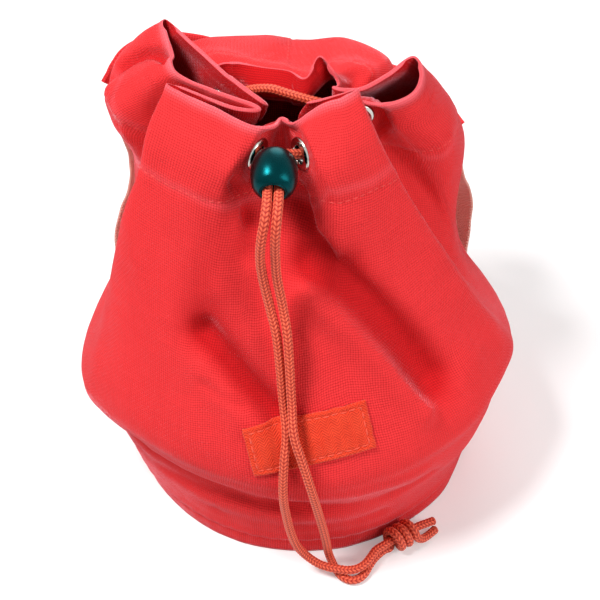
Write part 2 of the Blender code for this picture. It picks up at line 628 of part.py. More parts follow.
def build_patch(tree, material):
    """The sewn patch, laid on the curve of the front."""
    centre = np.array(PATCH_CENTRE) * SCALE
    across = np.array(PATCH_ACROSS, dtype=float)
    across = across / np.linalg.norm(across)
    out = np.cross(across, np.array(PATCH_DOWN, dtype=float))
    out = out / np.linalg.norm(out) * -1
    down = np.cross(across, out) * -1
    if down[2] > 0:
        down = -down
    if out[1] > 0:
        out = -out
    under = []
    over = []
    columns = 16
    rows = 6
    for j in range(rows + 1):
        for i in range(columns + 1):
            place = (centre + across * PATCH_WIDTH * (i / columns - 0.5)
                     + down * PATCH_HEIGHT * (j / rows - 0.5))
            lift = -1.0
            for a, b in ((0, 0), (1, 0), (-1, 0), (0, 1), (0, -1)):
                probe = place + (across * a + down * b) * PATCH_WIDTH / columns / 2 + out * 0.03
                hit = tree.ray_cast(Vector(probe), Vector(-out))
                lift = max(lift, (np.array(hit[0]) - place) @ out)
            under.append(place + out * (lift + GAP))
            over.append(place + out * (lift + GAP + PATCH_THICK))
    return add_object("front_patch", sheet_mesh("front_patch", under, over, columns + 1), material)


def sheet_mesh(name, under, over, across):
    """Join a lower and an upper grid of points into one thin closed sheet."""
    shape = bmesh.new()
    low = [shape.verts.new(p) for p in under]
    high = [shape.verts.new(p) for p in over]
    rows = len(low) // across
    for j in range(rows - 1):
        for i in range(across - 1):
            a = j * across + i
            quad = (a, a + 1, a + across + 1, a + across)
            shape.faces.new([high[k] for k in quad])
            shape.faces.new([low[k] for k in reversed(quad)])
    edge = [i for i in range(across)]
    edge += [(j + 1) * across - 1 for j in range(1, rows)]
    edge += [(rows - 1) * across + i for i in range(across - 2, -1, -1)]
    edge += [j * across for j in range(rows - 2, 0, -1)]
    for a, b in zip(edge, edge[1:] + edge[:1]):
        shape.faces.new((low[a], low[b], high[b], high[a]))
    return mesh_from_bmesh(name, shape)


def strap_frame(line, i):
    """Return the way along a strap and the way out from the bag at one point of its line."""
    ahead = line[min(i + 1, len(line) - 1)] - line[max(i - 1, 0)]
    ahead = ahead / np.linalg.norm(ahead)
    out = np.array((line[i][0], line[i][1], 0.0))
    out = out - ahead * (out @ ahead)
    return ahead, out / np.linalg.norm(out)


def seat_on_cloth(tree, place, side, out, width, thick):
    """Move a strap's end along its own out direction until it just clears the cloth."""
    lift = -1.0
    for share in (-0.5, -0.3, -0.1, 0.1, 0.3, 0.5):
        probe = place + side * width * share
        hit = tree.ray_cast(Vector(probe + out * 0.05), Vector(-out), 0.1)
        if hit[0] is not None:
            lift = max(lift, (np.array(hit[0]) - place) @ out)
    return place + out * (lift + GAP + thick / 2)


def strap_line(tree, route, width, thick, first, last):
    """Read a strap's line, with its ends seated on the cloth where they are sewn to it."""
    line = smooth_line(np.array(route, dtype=float) * SCALE, 3)
    for index, seated in ((0, first), (len(line) - 1, last)):
        if seated:
            ahead, out = strap_frame(line, index)
            moved = seat_on_cloth(tree, line[index], np.cross(ahead, out), out, width, thick)
            line[index] = moved
    return line


def build_strap(name, line, frames, width, thick, material):
    """Add a flat strap along a line, facing out from the bag."""
    shape = bmesh.new()
    loops = []
    for i, (ahead, out) in enumerate(frames):
        side = np.cross(ahead, out)
        corners = [(-0.5, -0.5), (0.5, -0.5), (0.5, 0.5), (-0.5, 0.5)]
        loops.append([shape.verts.new(line[i] + side * width * a + out * thick * b) for a, b in corners])
    for a, b in zip(loops[:-1], loops[1:]):
        for k in range(4):
            n = (k + 1) % 4
            shape.faces.new((a[k], a[n], b[n], b[k]))
    shape.faces.new(loops[0])
    shape.faces.new(loops[-1])
    return add_object(name, mesh_from_bmesh(name, shape), material, smooth=False)


def build_straps(tree, canvas, webbing):
    """The two shoulder straps: canvas above, with webbing sewn under its lower end."""
    under = (STRAP_THICK + WEBBING_THICK) / 2 + 2 * GAP
    for hand, upper, lower in (("left", STRAP_LEFT, WEBBING_LEFT), ("right", STRAP_RIGHT, WEBBING_RIGHT)):
        line = strap_line(tree, upper, STRAP_WIDTH, STRAP_THICK, True, False)
        frames = [strap_frame(line, i) for i in range(len(line))]
        build_strap("strap_canvas_" + hand, line, frames, STRAP_WIDTH, STRAP_THICK, canvas)
        sewn = [line[i] - frames[i][1] * under for i in (-3, -2, -1)]
        route = [sewn[-1] / SCALE] + list(lower)
        rest = strap_line(tree, route, WEBBING_WIDTH, WEBBING_THICK, False, True)
        tape = np.vstack([sewn[:-1], rest])
        turns = [strap_frame(tape, i) for i in range(len(tape))]
        turns[:3] = frames[-3:]
        build_strap("strap_webbing_" + hand, tape, turns, WEBBING_WIDTH, WEBBING_THICK, webbing)


def build_base(inner_edge, material):
    """The round base panel, cut to fit inside the lower edge of the wall."""
    shape = bmesh.new()
    shrink = 1 - GAP / float(np.min(np.linalg.norm(inner_edge[:, :2], axis=1)))
    rings = []
    for height in (0.0, BASE_THICK):
        rings.append([shape.verts.new((p[0] * shrink, p[1] * shrink, height)) for p in inner_edge])
    count = len(inner_edge)
    for k in range(count):
        n = (k + 1) % count
        shape.faces.new((rings[0][k], rings[0][n], rings[1][n], rings[1][k]))
    shape.faces.new(rings[0])
    shape.faces.new(rings[1])
    return add_object("base_panel", mesh_from_bmesh("base_panel", shape), material, smooth=False)


def main():
    """Build every piece."""
    clear_scene()
    canvas = make_material("canvas", (0.80, 0.06, 0.07), 0.85)
    nickel = make_material("nickel", (0.72, 0.70, 0.68), 0.2, 1.0)
    plastic = make_material("bead_plastic", (0.02, 0.16, 0.20), 0.3)
    braid = make_material("braid", (0.93, 0.16, 0.07), 0.75)
    felt = make_material("felt", (0.86, 0.08, 0.05), 0.95)
    webbing = make_material("webbing", (0.80, 0.38, 0.22), 0.8)
    net = control_net()
    frames = eyelet_frames(net)
    inner_edge = build_body(net, frames, canvas)
    build_eyelets(frames, nickel)
    build_base(inner_edge, canvas)
    tree = outside_tree(net, frames)
    build_patch(tree, felt)
    build_straps(tree, canvas, webbing)
    build_cords(braid)
    build_bead(plastic)


main()
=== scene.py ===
"""Looks for the small drawstring rucksack: cloth, braid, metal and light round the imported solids."""
import math
from functools import reduce

import bmesh
import bpy
import numpy as np
from mathutils import Matrix, Vector, noise
from mathutils.bvhtree import BVHTree


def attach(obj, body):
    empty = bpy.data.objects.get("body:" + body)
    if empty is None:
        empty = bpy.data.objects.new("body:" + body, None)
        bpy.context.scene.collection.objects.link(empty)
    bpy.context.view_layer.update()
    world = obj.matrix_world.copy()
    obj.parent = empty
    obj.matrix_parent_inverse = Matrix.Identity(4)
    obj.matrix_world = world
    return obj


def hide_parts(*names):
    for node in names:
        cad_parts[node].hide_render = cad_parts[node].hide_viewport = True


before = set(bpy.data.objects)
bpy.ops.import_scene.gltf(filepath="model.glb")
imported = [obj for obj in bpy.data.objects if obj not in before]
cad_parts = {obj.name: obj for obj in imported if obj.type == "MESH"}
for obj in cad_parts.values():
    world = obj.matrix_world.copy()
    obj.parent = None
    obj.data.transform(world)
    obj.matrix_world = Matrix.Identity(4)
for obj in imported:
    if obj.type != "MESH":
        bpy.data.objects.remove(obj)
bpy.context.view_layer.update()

# Sizes in metres, the same as those of the solids.
CANVAS = 0.0011
HEM_CANVAS = 0.0020
EYELET_OUTER = 0.0145
EYELET_BORE = 0.0076
EYELET_METAL = 0.0007
CORD = 0.0040
BEAD_WIDTH = 0.0180
BEAD_LENGTH = 0.0180
BEAD_BORE = 0.0092
PATCH_WIDTH = 0.0540
PATCH_HEIGHT = 0.0220
PATCH_THICK = 0.0012
STRAP_WIDTH = 0.0280
STRAP_THICK = 0.0026
WEBBING_WIDTH = 0.0200
WEBBING_THICK = 0.0014
BASE_THICK = 0.0016
GAP = 0.0003
MM = 0.001

# Camera: the place of its eye, the degrees that it looks down, and its lens in millimetres.
EYE = (-0.0016, -0.37796, 0.45043)
PITCH = 44.196
LENS = 65.52

# Cloth grid: samples across each control column, and rows down each ring of control points.
SAMPLES_PER_COLUMN = 11
ROWS_PER_RING = [12, 16, 20, 32, 27, 10, 10, 9, 11, 9]

# Wall: the rows that its inner face keeps, where its double hem ends, the rows that even out the
# weave, and how thin it may get inside a fold.
INNER_EVERY = 3
INNER_FINE_TO = 0.6
HEM_END = 2.0
EVEN_ROWS = 8
LEAST_WALL = 0.0003
ROOM_SHARE = 0.36
RAY_START = 0.0002

# Where a search for the cloth starts and ends, and how far from an eyelet its hole is looked for.
PROBE_START = 0.05
PROBE_REACH = 0.1
HOLE_DEPTH = 0.0035
HOLE_SEARCH = 0.011

# Flat size of the cloth, what its hem turns in, how the weave runs over the rim, and its thread.
CLOTH_ROUND = 0.575
CLOTH_DEEP = 0.229
ROLL_WEAVE = (-0.0018, -0.0003)
INSIDE_WEAVE = -0.0021
CANVAS_THREAD = 0.00110
THREAD_WANDER = 70.0

# Where the seams run: the hem's row, the back seam's column and top row, and the base seam.
HEM_ROW = 1.93
SEAM_COLUMN = 18.6
SEAM_TOP = 0.2
COLUMN_WIDTH = 0.0135
BASE_SEAM = 0.0085

# Ridges and grooves of the sewn cloth, as height and half width, with the pitch of the puckers.
HEM_GROOVE = (-0.00042, 0.0011)
HEM_STEP = 0.00030
HEM_STEP_WIDTH = 0.0005
HEM_PUCKER = (0.00022, 0.0050)
HEM_PITCH = 0.0067
RIM_RIDGE = (0.00030, 0.0016)
RIM_RIDGE_INSET = 0.0008
BASE_GROOVE = (-0.0007, 0.0012)
BASE_RIDGE = (0.0006, 0.0024)
BASE_RIDGE_INSET = 0.0035
BASE_PUCKER = (0.00016, 0.0045)
BASE_PITCH = 0.0083
BACK_GROOVE = (-0.0006, 0.0009)
RUMPLES = [(46.0, 0.00045), (150.0, 0.00016)]
BASE_DIP = (0.0005, 0.0012)
BASE_DIP_SHARE = 0.945
BASE_SPAN = 0.087
BASE_CLEAR = 0.00005
BASE_SHARES = [0.03, 0.2, 0.4, 0.6, 0.75, 0.86, 0.92, 0.96, 0.985, 1.0]

# Where and how much the canvas is painted pale for wear and a painted sheen, and the same for the painted
# shade of its folds.
WORN_SHEEN_ROLL = 0.9
WORN_SHEEN_EDGE = (1.0, 0.0022)
WORN_SHEEN_HEM = (0.25, 0.002)
HEM_DEEP = 0.036
PAINTED_SHADE_DEPTH = 0.0055
PAINTED_SHADE_MOST = 0.9

# Stitches: how far ahead their way is read, how far their ends sink, sides and thickness.
STITCH_AHEAD = 0.0003
STITCH_SINK = 1.1
STITCH_SIDES = 6
STITCH_PROFILE = [(0.0, 0.35), (0.16, 0.8), (0.5, 1.0), (0.84, 0.8), (1.0, 0.35)]

# Patch: grid, rounding of its edge, wander of its outline, sewn groove and zigzag of its tape.
PATCH_COLUMNS = 132
PATCH_ROWS = 54
PATCH_EDGE = 0.0009
PATCH_WANDER = 0.00035
PATCH_GROOVE = (-0.00045, 0.0007)
PATCH_LUMPS = 0.00012
PATCH_RIBS = 0.00007
PATCH_PROBE = 0.03
BRIDGE_PASSES = 10
STITCH_INSET = 0.0024
ZIGZAG = 0.0023
ZIGZAG_RIB = 0.0013

# Straps: seam from the edge, shape of the section, its waves, and the webbing's ribs and lanes.
STRAP_SEAM = 0.0026
STRAP_CREASE = (0.16, 0.0007)
STRAP_ROUND = 0.6
STRAP_LEAST = 0.12
STRAP_WAVE = 0.0002
STRAP_WAVE_RATE = 400
UNDER_SHIFT = 0.05
STRAP_SIDES = 25
WEBBING_RIB = 0.0016
WEBBING_LANE = 0.0022

# Cord: its braid and its melted tip.
BRAID_LANES = 8
BRAID_PITCH = 0.0017
BRAID_STEP = 0.00034
BRAID_SIDES = 40
BRAID_LEAN = 0.75
BRAID_DRIFT = 0.35
BRAID_CORE = 0.90
BRAID_RELIEF = 0.13
TIP_LENGTH = 0.0012
TIP_SHARE = 0.55
TIP_FLARE = (0.0002, 0.0006)
FLARE_INSET = 0.0009

# Colours, each with a pale one for crowns and a deep one for gaps.
# On the canvas, the deep colour of the thread gaps is painted shade.
CANVAS_PALE = (0.84, 0.042, 0.046)
CANVAS_DEEP = (0.40, 0.003, 0.005)
# Painted shade: the colours laid over the canvas in its folds and on its inner face.
SHADE_PALE = (0.56, 0.005, 0.008)
SHADE_DEEP = (0.18, 0.001, 0.002)
# Wear and a painted sheen: the pale pink laid on the rolled rim, the top edge and the hem.
WORN_SHEEN_PINK = (0.93, 0.20, 0.24)
STRAP_PALE = (0.84, 0.048, 0.054)
STRAP_DEEP = (0.40, 0.004, 0.007)
BRAID_PALE = (0.93, 0.150, 0.070)
BRAID_DEEP = (0.36, 0.010, 0.004)
TAPE_PALE = (0.95, 0.082, 0.032)
TAPE_DEEP = (0.62, 0.020, 0.006)
WEBBING_PALE = (0.95, 0.62, 0.52)
WEBBING_DEEP = (0.80, 0.40, 0.31)
NICKEL_PALE = (0.62, 0.60, 0.56)
NICKEL_DEEP = (0.40, 0.38, 0.35)
# Painted shade inside the eyelet bores, and partly on the washers.
NICKEL_PAINTED_SHADE = (0.07, 0.062, 0.055)
BEAD_PALE = (0.002, 0.048, 0.054)
BEAD_DEEP = (0.001, 0.026, 0.030)
SEWING_PALE = (0.93, 0.085, 0.07)
SEWING_DEEP = (0.62, 0.02, 0.02)
TAPE_SEWING_PALE = (0.96, 0.12, 0.055)
TAPE_SEWING_DEEP = (0.70, 0.035, 0.012)

# Light: the surround, the floor's glow, and the name, place, aim, size and power of each lamp.
WORLD_LEVEL = 0.22
FLOOR_LIFT = 0.24
FLOOR_REACH = 4.0
FLOOR_GAP = 0.0001
LAMPS = [
    ("key", (-0.52, -0.14, 1.02), (0, 0, 0.10), 0.34, 12.5),
    ("fill", (0.80, -0.45, 0.55), (0, 0, 0.10), 0.70, 6.0),
    ("back", (0.10, 0.75, 0.70), (0, 0, 0.12), 0.60, 3.0),
]

# The coil of the knot: its turns, centre and axis, and the cord before and after it.
KNOT_WRAPS = 2.75
KNOT_CENTRE = (46.6, -82.9, 6.75)
KNOT_AXIS = (0.85, 0.527, 0.0)
KNOT_LEAD = [(36.2, -89.6, 2.1), (38.7, -87.6, 2.1)]
KNOT_TAIL = [(56.8, -82.4, 3.4), (60.3, -79.4, 2.1), (64.5, -75.6, 2.1)]

# Control columns run anticlockwise from the groove between the two front eyelets.
RIM = [
    (-9, -14, 197), (-4, -20, 200), (5, -16, 204), (10, -15, 206), (15, -14, 207), (21, -10, 209),
    (18, -2, 202), (2, -1, 196), (17, 4, 195), (30, 4, 191), (45, 9, 193), (50, 16, 199),
    (46, 22, 204), (35, 17, 199), (24, 14, 194), (14, 20, 190), (15, 26, 189), (7, 30, 199),
    (1, 27, 190), (-6, 35, 188), (-18, 38, 188), (-30, 41, 189), (-37, 36, 189), (-16, 5, 192),
    (-31, 12, 201), (-46, 26, 207), (-59, 38, 212), (-57, 22, 210), (-53, 7, 206), (-38, 2, 200),
    (-19, -4, 196), (-27, -10, 200), (-44, -8, 206), (-54, -8, 210), (-44, -14, 207),
    (-35, -18, 205), (-27, -21, 202), (-20, -23, 200), (-12, -22, 199),
]
EYELET_RING = [
    (-10, -8, 184), (-1, -23, 187), (7, -34, 188), (14, -31, 190), (21, -25, 192), (28, -18, 194),
    (24, -7, 190), (0, 2, 184), (24, 11, 182), (37, 7, 180), (50, 8, 181), (58, 17, 183),
    (58, 30, 187), (46, 32, 186), (33, 29, 182), (16, 22, 178), (21, 39, 180), (11, 35, 186),
    (0, 25, 180), (-7, 27, 180), (-18, 30, 180), (-30, 41, 180), (-39, 38, 178), (-21, 10, 180),
    (-38, 20, 188), (-54, 37, 194), (-72, 44, 200), (-71, 27, 199), (-66, 11, 196), (-46, 8, 187),
    (-24, 3, 183), (-31, -6, 186), (-50, -9, 192), (-62, -15, 195), (-52, -22, 193),
    (-42, -28, 191), (-34, -32, 189), (-27, -34, 188), (-19, -23, 187),
]
HEM_RING = [
    (-11, -18, 168), (0, -31, 171), (12, -38, 172), (21, -35, 172), (30, -29, 172), (40, -20, 171),
    (32, -9, 169), (17, 3, 167), (36, 12, 165), (50, 8, 164), (61, 10, 165), (68, 20, 166),
    (69, 35, 168), (58, 42, 171), (43, 38, 171), (27, 31, 169), (32, 50, 180), (17, 54, 183),
    (1, 50, 181), (-9, 54, 184), (-22, 55, 184), (-42, 59, 184), (-50, 53, 178), (-35, 26, 168),
    (-54, 37, 174), (-69, 48, 179), (-83, 49, 182), (-87, 29, 180), (-80, 11, 178), (-58, 8, 171),
    (-40, 2, 169), (-47, -6, 171), (-60, -12, 175), (-68, -19, 176), (-58, -27, 174),
    (-48, -33, 173), (-39, -37, 172), (-31, -38, 172), (-21, -31, 170),
]
SHOULDER_RING = [
    (-12, -40, 147), (0, -45, 147), (13, -48, 147), (26, -44, 147), (40, -34, 146), (55, -22, 145),
    (46, -10, 143), (41, 2, 142), (54, 11, 141), (62, 11, 141), (69, 17, 140), (74, 29, 141),
    (76, 44, 142), (69, 58, 146), (58, 64, 152), (47, 66, 162), (40, 74, 169), (21, 85, 173),
    (3, 87, 172), (-9, 89, 173), (-23, 89, 172), (-50, 82, 173), (-61, 74, 167), (-60, 64, 158),
    (-68, 61, 152), (-75, 51, 149), (-79, 39, 149), (-78, 27, 150), (-74, 15, 150), (-67, 8, 149),
    (-60, 2, 148), (-63, -5, 148), (-72, -12, 148), (-78, -21, 149), (-69, -31, 148),
    (-57, -39, 147), (-46, -45, 147), (-34, -48, 147), (-23, -45, 147),
]
WAIST_RING = [
    (-12, -68, 106), (2, -70, 106), (18, -70, 106), (38, -63, 106), (59, -46, 106), (78, -24, 106),
    (74, -12, 104), (72, -2, 103), (75, 8, 102), (76, 17, 102), (76, 26, 102), (76, 38, 102),
    (74, 50, 103), (68, 61, 104), (58, 71, 106), (46, 79, 108), (33, 85, 112), (19, 89, 116),
    (5, 91, 117), (-8, 92, 117), (-22, 90, 116), (-36, 86, 114), (-50, 79, 110), (-61, 70, 107),
    (-71, 59, 105), (-78, 48, 104), (-82, 37, 104), (-84, 26, 104), (-85, 16, 104), (-84, 7, 104),
    (-83, 0, 104), (-85, -7, 104), (-88, -14, 105), (-89, -25, 106), (-81, -39, 106),
    (-69, -51, 106), (-56, -60, 106), (-42, -66, 106), (-26, -69, 106),
]
# Angle of each column round the bag below the waist, in degrees anticlockwise from +X.
COLUMN_ANGLES = [
    265, 274, 286, 303, 323, 346, 355, 362, 369, 376, 384, 392, 401, 410, 418, 426, 434, 441, 448,
    455, 463, 472, 481, 490, 499, 508, 517, 525, 532, 538, 544, 550, 556, 563, 575, 587, 599, 610,
    618,
]
# Lower rings: height, then the radius at chosen angles, all in millimetres and degrees.
LOWER_RINGS = [
    (72, {0: 99, 30: 94, 60: 92, 90: 92, 120: 93, 150: 98, 180: 103, 200: 106, 219: 101, 231: 98,
          249: 95, 270: 93, 290: 94, 315: 96, 345: 101}),
    (57, {0: 98, 30: 93, 60: 91, 90: 91, 120: 92, 150: 98, 180: 106, 200: 109, 219: 100, 231: 96,
          249: 95, 270: 96, 290: 96, 315: 96, 345: 98}),
    (43, {0: 95, 30: 91, 60: 90, 90: 90, 120: 91, 150: 95, 180: 102, 200: 100, 215: 91, 231: 88,
          249: 88, 270: 89, 290: 92, 315: 95, 345: 97}),
    (31, {0: 92, 30: 89, 60: 89, 90: 89, 120: 90, 150: 92, 180: 96, 200: 96, 219: 92, 231: 90,
          249: 90, 270: 90, 290: 90, 315: 91, 345: 93}),
    (14, {0: 88, 60: 88, 120: 88, 160: 90, 180: 91, 200: 91, 225: 89, 260: 88, 300: 88, 345: 88}),
    (0.3, {0: 87.2, 90: 87.2, 180: 87.2, 270: 87.2}),
]
# Soft folds pressed into the cloth: depth, half width, then the line that the fold follows.
SOFT_FOLDS = [
    (2.0, 5.0, [(-20, -31, 167), (-22, -42, 152)]),
    (2.6, 9.0, [(-26, -35, 173), (-33, -42, 155), (-41, -49, 137), (-44, -56, 120)]),
    (3.0, 10.0, [(-40, -57, 120), (-27, -68, 108), (-14, -77, 96), (-2, -83, 86)]),
    (2.6, 7.0, [(-4, -27, 167), (-2, -39, 155), (3, -48, 141)]),
    (3.2, 11.0, [(3, -48, 141), (15, -53, 134), (32, -59, 114), (55, -65, 85)]),
    (-1.8, 9.0, [(30, -48, 140), (52, -46, 116), (74, -46, 88)]),
    (-1.6, 8.0, [(-18, -60, 118), (-12, -76, 96), (4, -86, 84)]),
    (2.4, 4.5, [(-84, 32, 187), (-80, 32, 192), (-72, 30, 199), (-65, 25, 204), (-59, 18, 207)]),
    (1.8, 3.6, [(-80, -46, 27), (-66, -62, 31), (-40, -81, 36), (0, -90, 38)]),
    (2.2, 9.0, [(60, 58, 150), (76, 36, 128), (82, 24, 100)]),
    (2.0, 7.0, [(-9, 56, 185), (-8, 80, 180), (-6, 92, 150)]),
]
# Deeper runs of the same folds and small creases, which only the cloth of the scene shows.
FINE_FOLDS = [
    (3.2, 5.0, [(-5, -25, 166), (-1, -31, 161), (4, -37, 155)]),
    (-6.0, 6.5, [(1, -50, 136), (11, -55, 129), (26, -61, 114), (40, -66, 97), (52, -69, 82)]),
    (8.0, 9.5, [(6, -43, 149), (17, -47, 143), (30, -50, 130), (43, -54, 113), (57, -59, 93)]),
    (-2.0, 4.5, [(6, -37, 160), (13, -42, 154)]),
    (4.4, 5.5, [(-42, -55, 118), (-35, -62, 113), (-27, -68, 105), (-19, -72, 98), (-9, -79, 90)]),
    (-1.6, 6.0, [(-44, -64, 104), (-34, -72, 96), (-24, -79, 86)]),
    (-1.0, 7.0, [(-29, -36, 166), (-32, -42, 155), (-37, -48, 138)]),
    (2.8, 3.0, [(-22, -33, 163), (-20, -38, 157), (-17, -43, 149)]),
    (1.6, 3.6, [(-64, -73, 44), (-22, -88, 38), (30, -90, 38), (60, -72, 42)]),
    (-1.2, 4.5, [(-68, -68, 53), (-32, -90, 51), (20, -95, 51), (55, -80, 53)]),
    (1.3, 3.2, [(-72, -52, 24), (-40, -78, 23), (0, -88, 24), (36, -80, 25)]),
    (1.2, 3.4, [(-66, -62, 80), (-52, -76, 72), (-36, -86, 68)]),
    (3.0, 2.1, [(-81, 35, 190), (-77, 34, 193), (-72, 32, 197), (-67, 29, 201), (-61, 23, 204),
                (-57, 16, 206)]),
    (-1.7, 4.0, [(-83, 27, 184), (-76, 22, 190), (-69, 19, 196), (-62, 16, 201)]),
    (1.7, 3.2, [(-86, 20, 178), (-80, 8, 176), (-73, 4, 172)]),
    (2.2, 4.2, [(-27, -33, 181), (-25, -31, 172), (-22, -33, 162)]),
    (2.6, 4.6, [(-2, -22, 176), (-1, -28, 169), (2, -34, 160)]),
    (1.3, 2.4, [(-43, -69, 100), (-35, -74, 97), (-27, -76, 94)]),
]

# Eyelets in the order that the cord threads them: column and ring of the centre, and the first
# and last column of the cloth that the flange holds flat.
EYELET_SEATS = [
    ("front_left", 38.0, 1.0, 37.4, 38.6), ("left_front", 31.5, 1.0, 30.3, 32.8),
    ("left_side", 28.7, 1.0, 27.3, 29.7), ("left_rear", 23.8, 1.0, 23.3, 25.0),
    ("rear_left", 22.36, 1.0, 22.0, 22.8), ("right_side", 7.95, 1.0, 7.4, 9.0),
    ("right_front", 6.4, 1.0, 6.0, 6.8), ("front_right", 1.0, 1.0, 0.4, 2.0),
]
FLAT_RADIUS = EYELET_OUTER / 2 + 0.0035
FLAT_FADE = 0.0055
FLAT_BLEND = 0.3
FLAT_RINGS = 1.05

# The cord lock: its centre, and the way that its bore points, forwards and a little down.
BEAD_CENTRE = (-11.7, -36.8, 187.5)
BEAD_AXIS = (-0.03, -0.975, -0.22)

# The sewn patch: its centre on the front, the way across it and the way down it.
PATCH_CENTRE = (2.4, -85.3, 83.0)
PATCH_ACROSS = (52, 5.5, 11)
PATCH_DOWN = (2, -10.5, -19)

# Shoulder straps behind the bag, from the top of the back down to the sides of the base.
STRAP_LEFT = [(-14, 92, 140), (-38, 98, 149), (-62, 97, 157), (-82, 91, 157), (-91, 85, 147)]
WEBBING_LEFT = [
    (-86, 84, 128), (-84, 90, 108), (-86, 89, 86), (-95, 84, 64), (-97, 80, 46), (-90, 72, 31),
    (-76, 63, 19), (-69, 57, 7),
]
STRAP_RIGHT = [(14, 92, 140), (36, 98, 141), (58, 94, 134), (75, 85, 120)]
WEBBING_RIGHT = [
    (75, 79, 106), (83, 84, 84), (84, 80, 68), (82, 70, 46), (78, 62, 30), (73, 58, 18), (70, 55, 7),
]

# Routes of the cord, in millimetres: the loop inside the neck, and its two free strands.
NECK_ROUTE = [
    (-22.6, -20.9, 187.4), (-27.5, -18.1, 187.9), (-34.5, -16.3, 188.4), (-39.2, -13, 188.8),
    (-40.2, -7.7, 189), (-41, -3, 189.3), (-44.5, -0.2, 189.5), (-49.2, 1, 189.4),
    (-52, 4, 189.2), (-52.6, 8.6, 189.5), (-53, 13, 190), (-50.6, 17, 189.8), (-45.5, 16, 188.8),
    (-41, 12.9, 187.6), (-37.5, 12.8, 186.5), (-34.1, 16.9, 186.4), (-32, 19.8, 186.7),
    (-33.4, 22.4, 184.2), (-36, 23.8, 181.2), (-36.2, 25.4, 179), (-33, 28.1, 178.2),
    (-29.4, 30.6, 178.2), (-24.6, 29.4, 182.6), (-15, 25, 186.3), (-8, 22.2, 186),
    (-1.6, 20, 185.2), (9, 16.6, 184.2), (17, 15.4, 183), (23, 16, 182.4),
    (24, 11, 182), (23.4, 6.4, 182.8),
    (19, 3.9, 185.2), (14.9, 1.2, 187.5), (13.5, -3.3, 187.6), (12.3, -7.8, 187.3),
    (10.4, -14, 187), (6.4, -19, 186.7), (2.6, -21.1, 186.8),
]
LEFT_ROUTE = [
    (-22.6, -20.9, 187.4), (-19, -23, 187.1), (-16.2, -24.5, 188.1), (-14.3, -26.3, 189.3),
    (-13.7, -28.6, 189.4), (-14.2, -45.6, 185.5), (-14.4, -51.8, 184.1), (-15.2, -57, 180),
    (-16.6, -59, 172.5), (-17.3, -58.6, 163), (-16.5, -58.5, 152), (-13.7, -61, 137),
    (-11, -67, 125), (-8.7, -77.3, 98.6), (-7.4, -86.6, 88.4), (-8.4, -94.5, 78),
    (-8.9, -99, 62), (-7.6, -98.3, 45), (-5.8, -97.8, 32), (-3.3, -97.3, 21), (0.8, -97, 12.5),
    (6.3, -98.2, 7.4), (11, -99.8, 6.6), (16.1, -101, 6.6), (20.8, -101.5, 6.4),
    (25.2, -100.6, 6.4), (28.8, -98.2, 6.4), (31.6, -94.5, 6.4), (34.2, -90.8, 6.5),
    (38.2, -88.1, 6.75), (46.6, -82.9, 6.75), (54.5, -78, 6.75), (63.6, -73.4, 5.6),
]
RIGHT_ROUTE = [
    (2.6, -21.1, 186.8), (-1, -23, 187.1), (-5.2, -24.6, 188.2), (-8.3, -26.3, 189.3),
    (-9.2, -28.6, 189.4), (-9.8, -45.6, 185.5), (-10, -51.8, 184.1), (-10.6, -57, 180),
    (-11.2, -59.2, 172.5), (-11.3, -58.8, 163), (-10.8, -58.8, 152), (-8.6, -61, 138),
    (-6.6, -68.2, 126), (-5.2, -79, 100.5), (-4.2, -89, 90), (-0.3, -95, 78), (4, -99, 61.5),
    (8.2, -97, 36.5), (10, -95.5, 24), (11, -93.5, 14), (11.8, -93.2, 8), (13.2, -94.5, 3.8),
    (14.9, -97.6, 2.1), (17.3, -101.4, 2.1), (20.3, -103.5, 2.1), (23.2, -104.1, 2.1),
    (26.2, -103, 2.1), (28.7, -100.5, 2.1), (31, -96.4, 2.1), (33.4, -92.6, 2.1),
    (36.2, -89.6, 2.1),
]


def catmull(a, b, c, d, t):
    """Blend four neighbouring control points at t between the middle two."""
    return 0.5 * (2 * b + (c - a) * t + (2 * a - 5 * b + 4 * c - d) * t * t
                  + (3 * b - a - 3 * c + d) * t ** 3)


def periodic(values, keys, at):
    """Read a closed curve of radius against angle at the angle given."""
    count = len(keys)
    at = at % 360
    index = max(i for i in range(count) if keys[i] <= at + 1e-9)
    end = keys[(index + 1) % count] + (360 if index == count - 1 else 0)
    t = (at - keys[index]) / (end - keys[index])
    return catmull(*[values[(index + k) % count] for k in (-1, 0, 1, 2)], t)


def control_net():
    """Return the rings of control points as one array, in metres."""
    rings = [RIM, EYELET_RING, HEM_RING, SHOULDER_RING, WAIST_RING]
    for height, radii in LOWER_RINGS:
        keys = sorted(radii)
        ring = []
        for angle in COLUMN_ANGLES:
            r = periodic([radii[k] for k in keys], keys, angle)
            turn = math.radians(angle)
            ring.append((r * math.cos(turn), r * math.sin(turn), height))
        rings.append(ring)
    return np.array(rings, dtype=float) * MM


def cloth_points(net, rows, columns):
    """Read the lofted surface at every row and column given."""
    count = net.shape[1]
    last = net.shape[0] - 1
    across = []
    for u in columns:
        i = int(math.floor(u)) % count
        p = [net[:, (i + k) % count] for k in (-1, 0, 1, 2)]
        across.append(catmull(*p, u - math.floor(u)))
    across = np.stack(across, axis=1)
    result = []
    for v in rows:
        i = min(int(math.floor(v)), last - 1)
        before = across[i - 1] if i > 0 else 2 * across[0] - across[1]
        after = across[i + 2] if i + 2 <= last else 2 * across[last] - across[last - 1]
        result.append(catmull(before, across[i], across[i + 1], after, v - i))
    return np.stack(result)


def unit(vectors):
    """Scale vectors to length one."""
    return vectors / np.maximum(np.linalg.norm(vectors, axis=-1, keepdims=True), 1e-12)


def cloth_normals(points):
    """Return the outward normals of a grid that is closed across its columns."""
    along = np.gradient(points, axis=0)
    across = np.roll(points, -1, axis=1) - np.roll(points, 1, axis=1)
    return unit(np.cross(along, across))


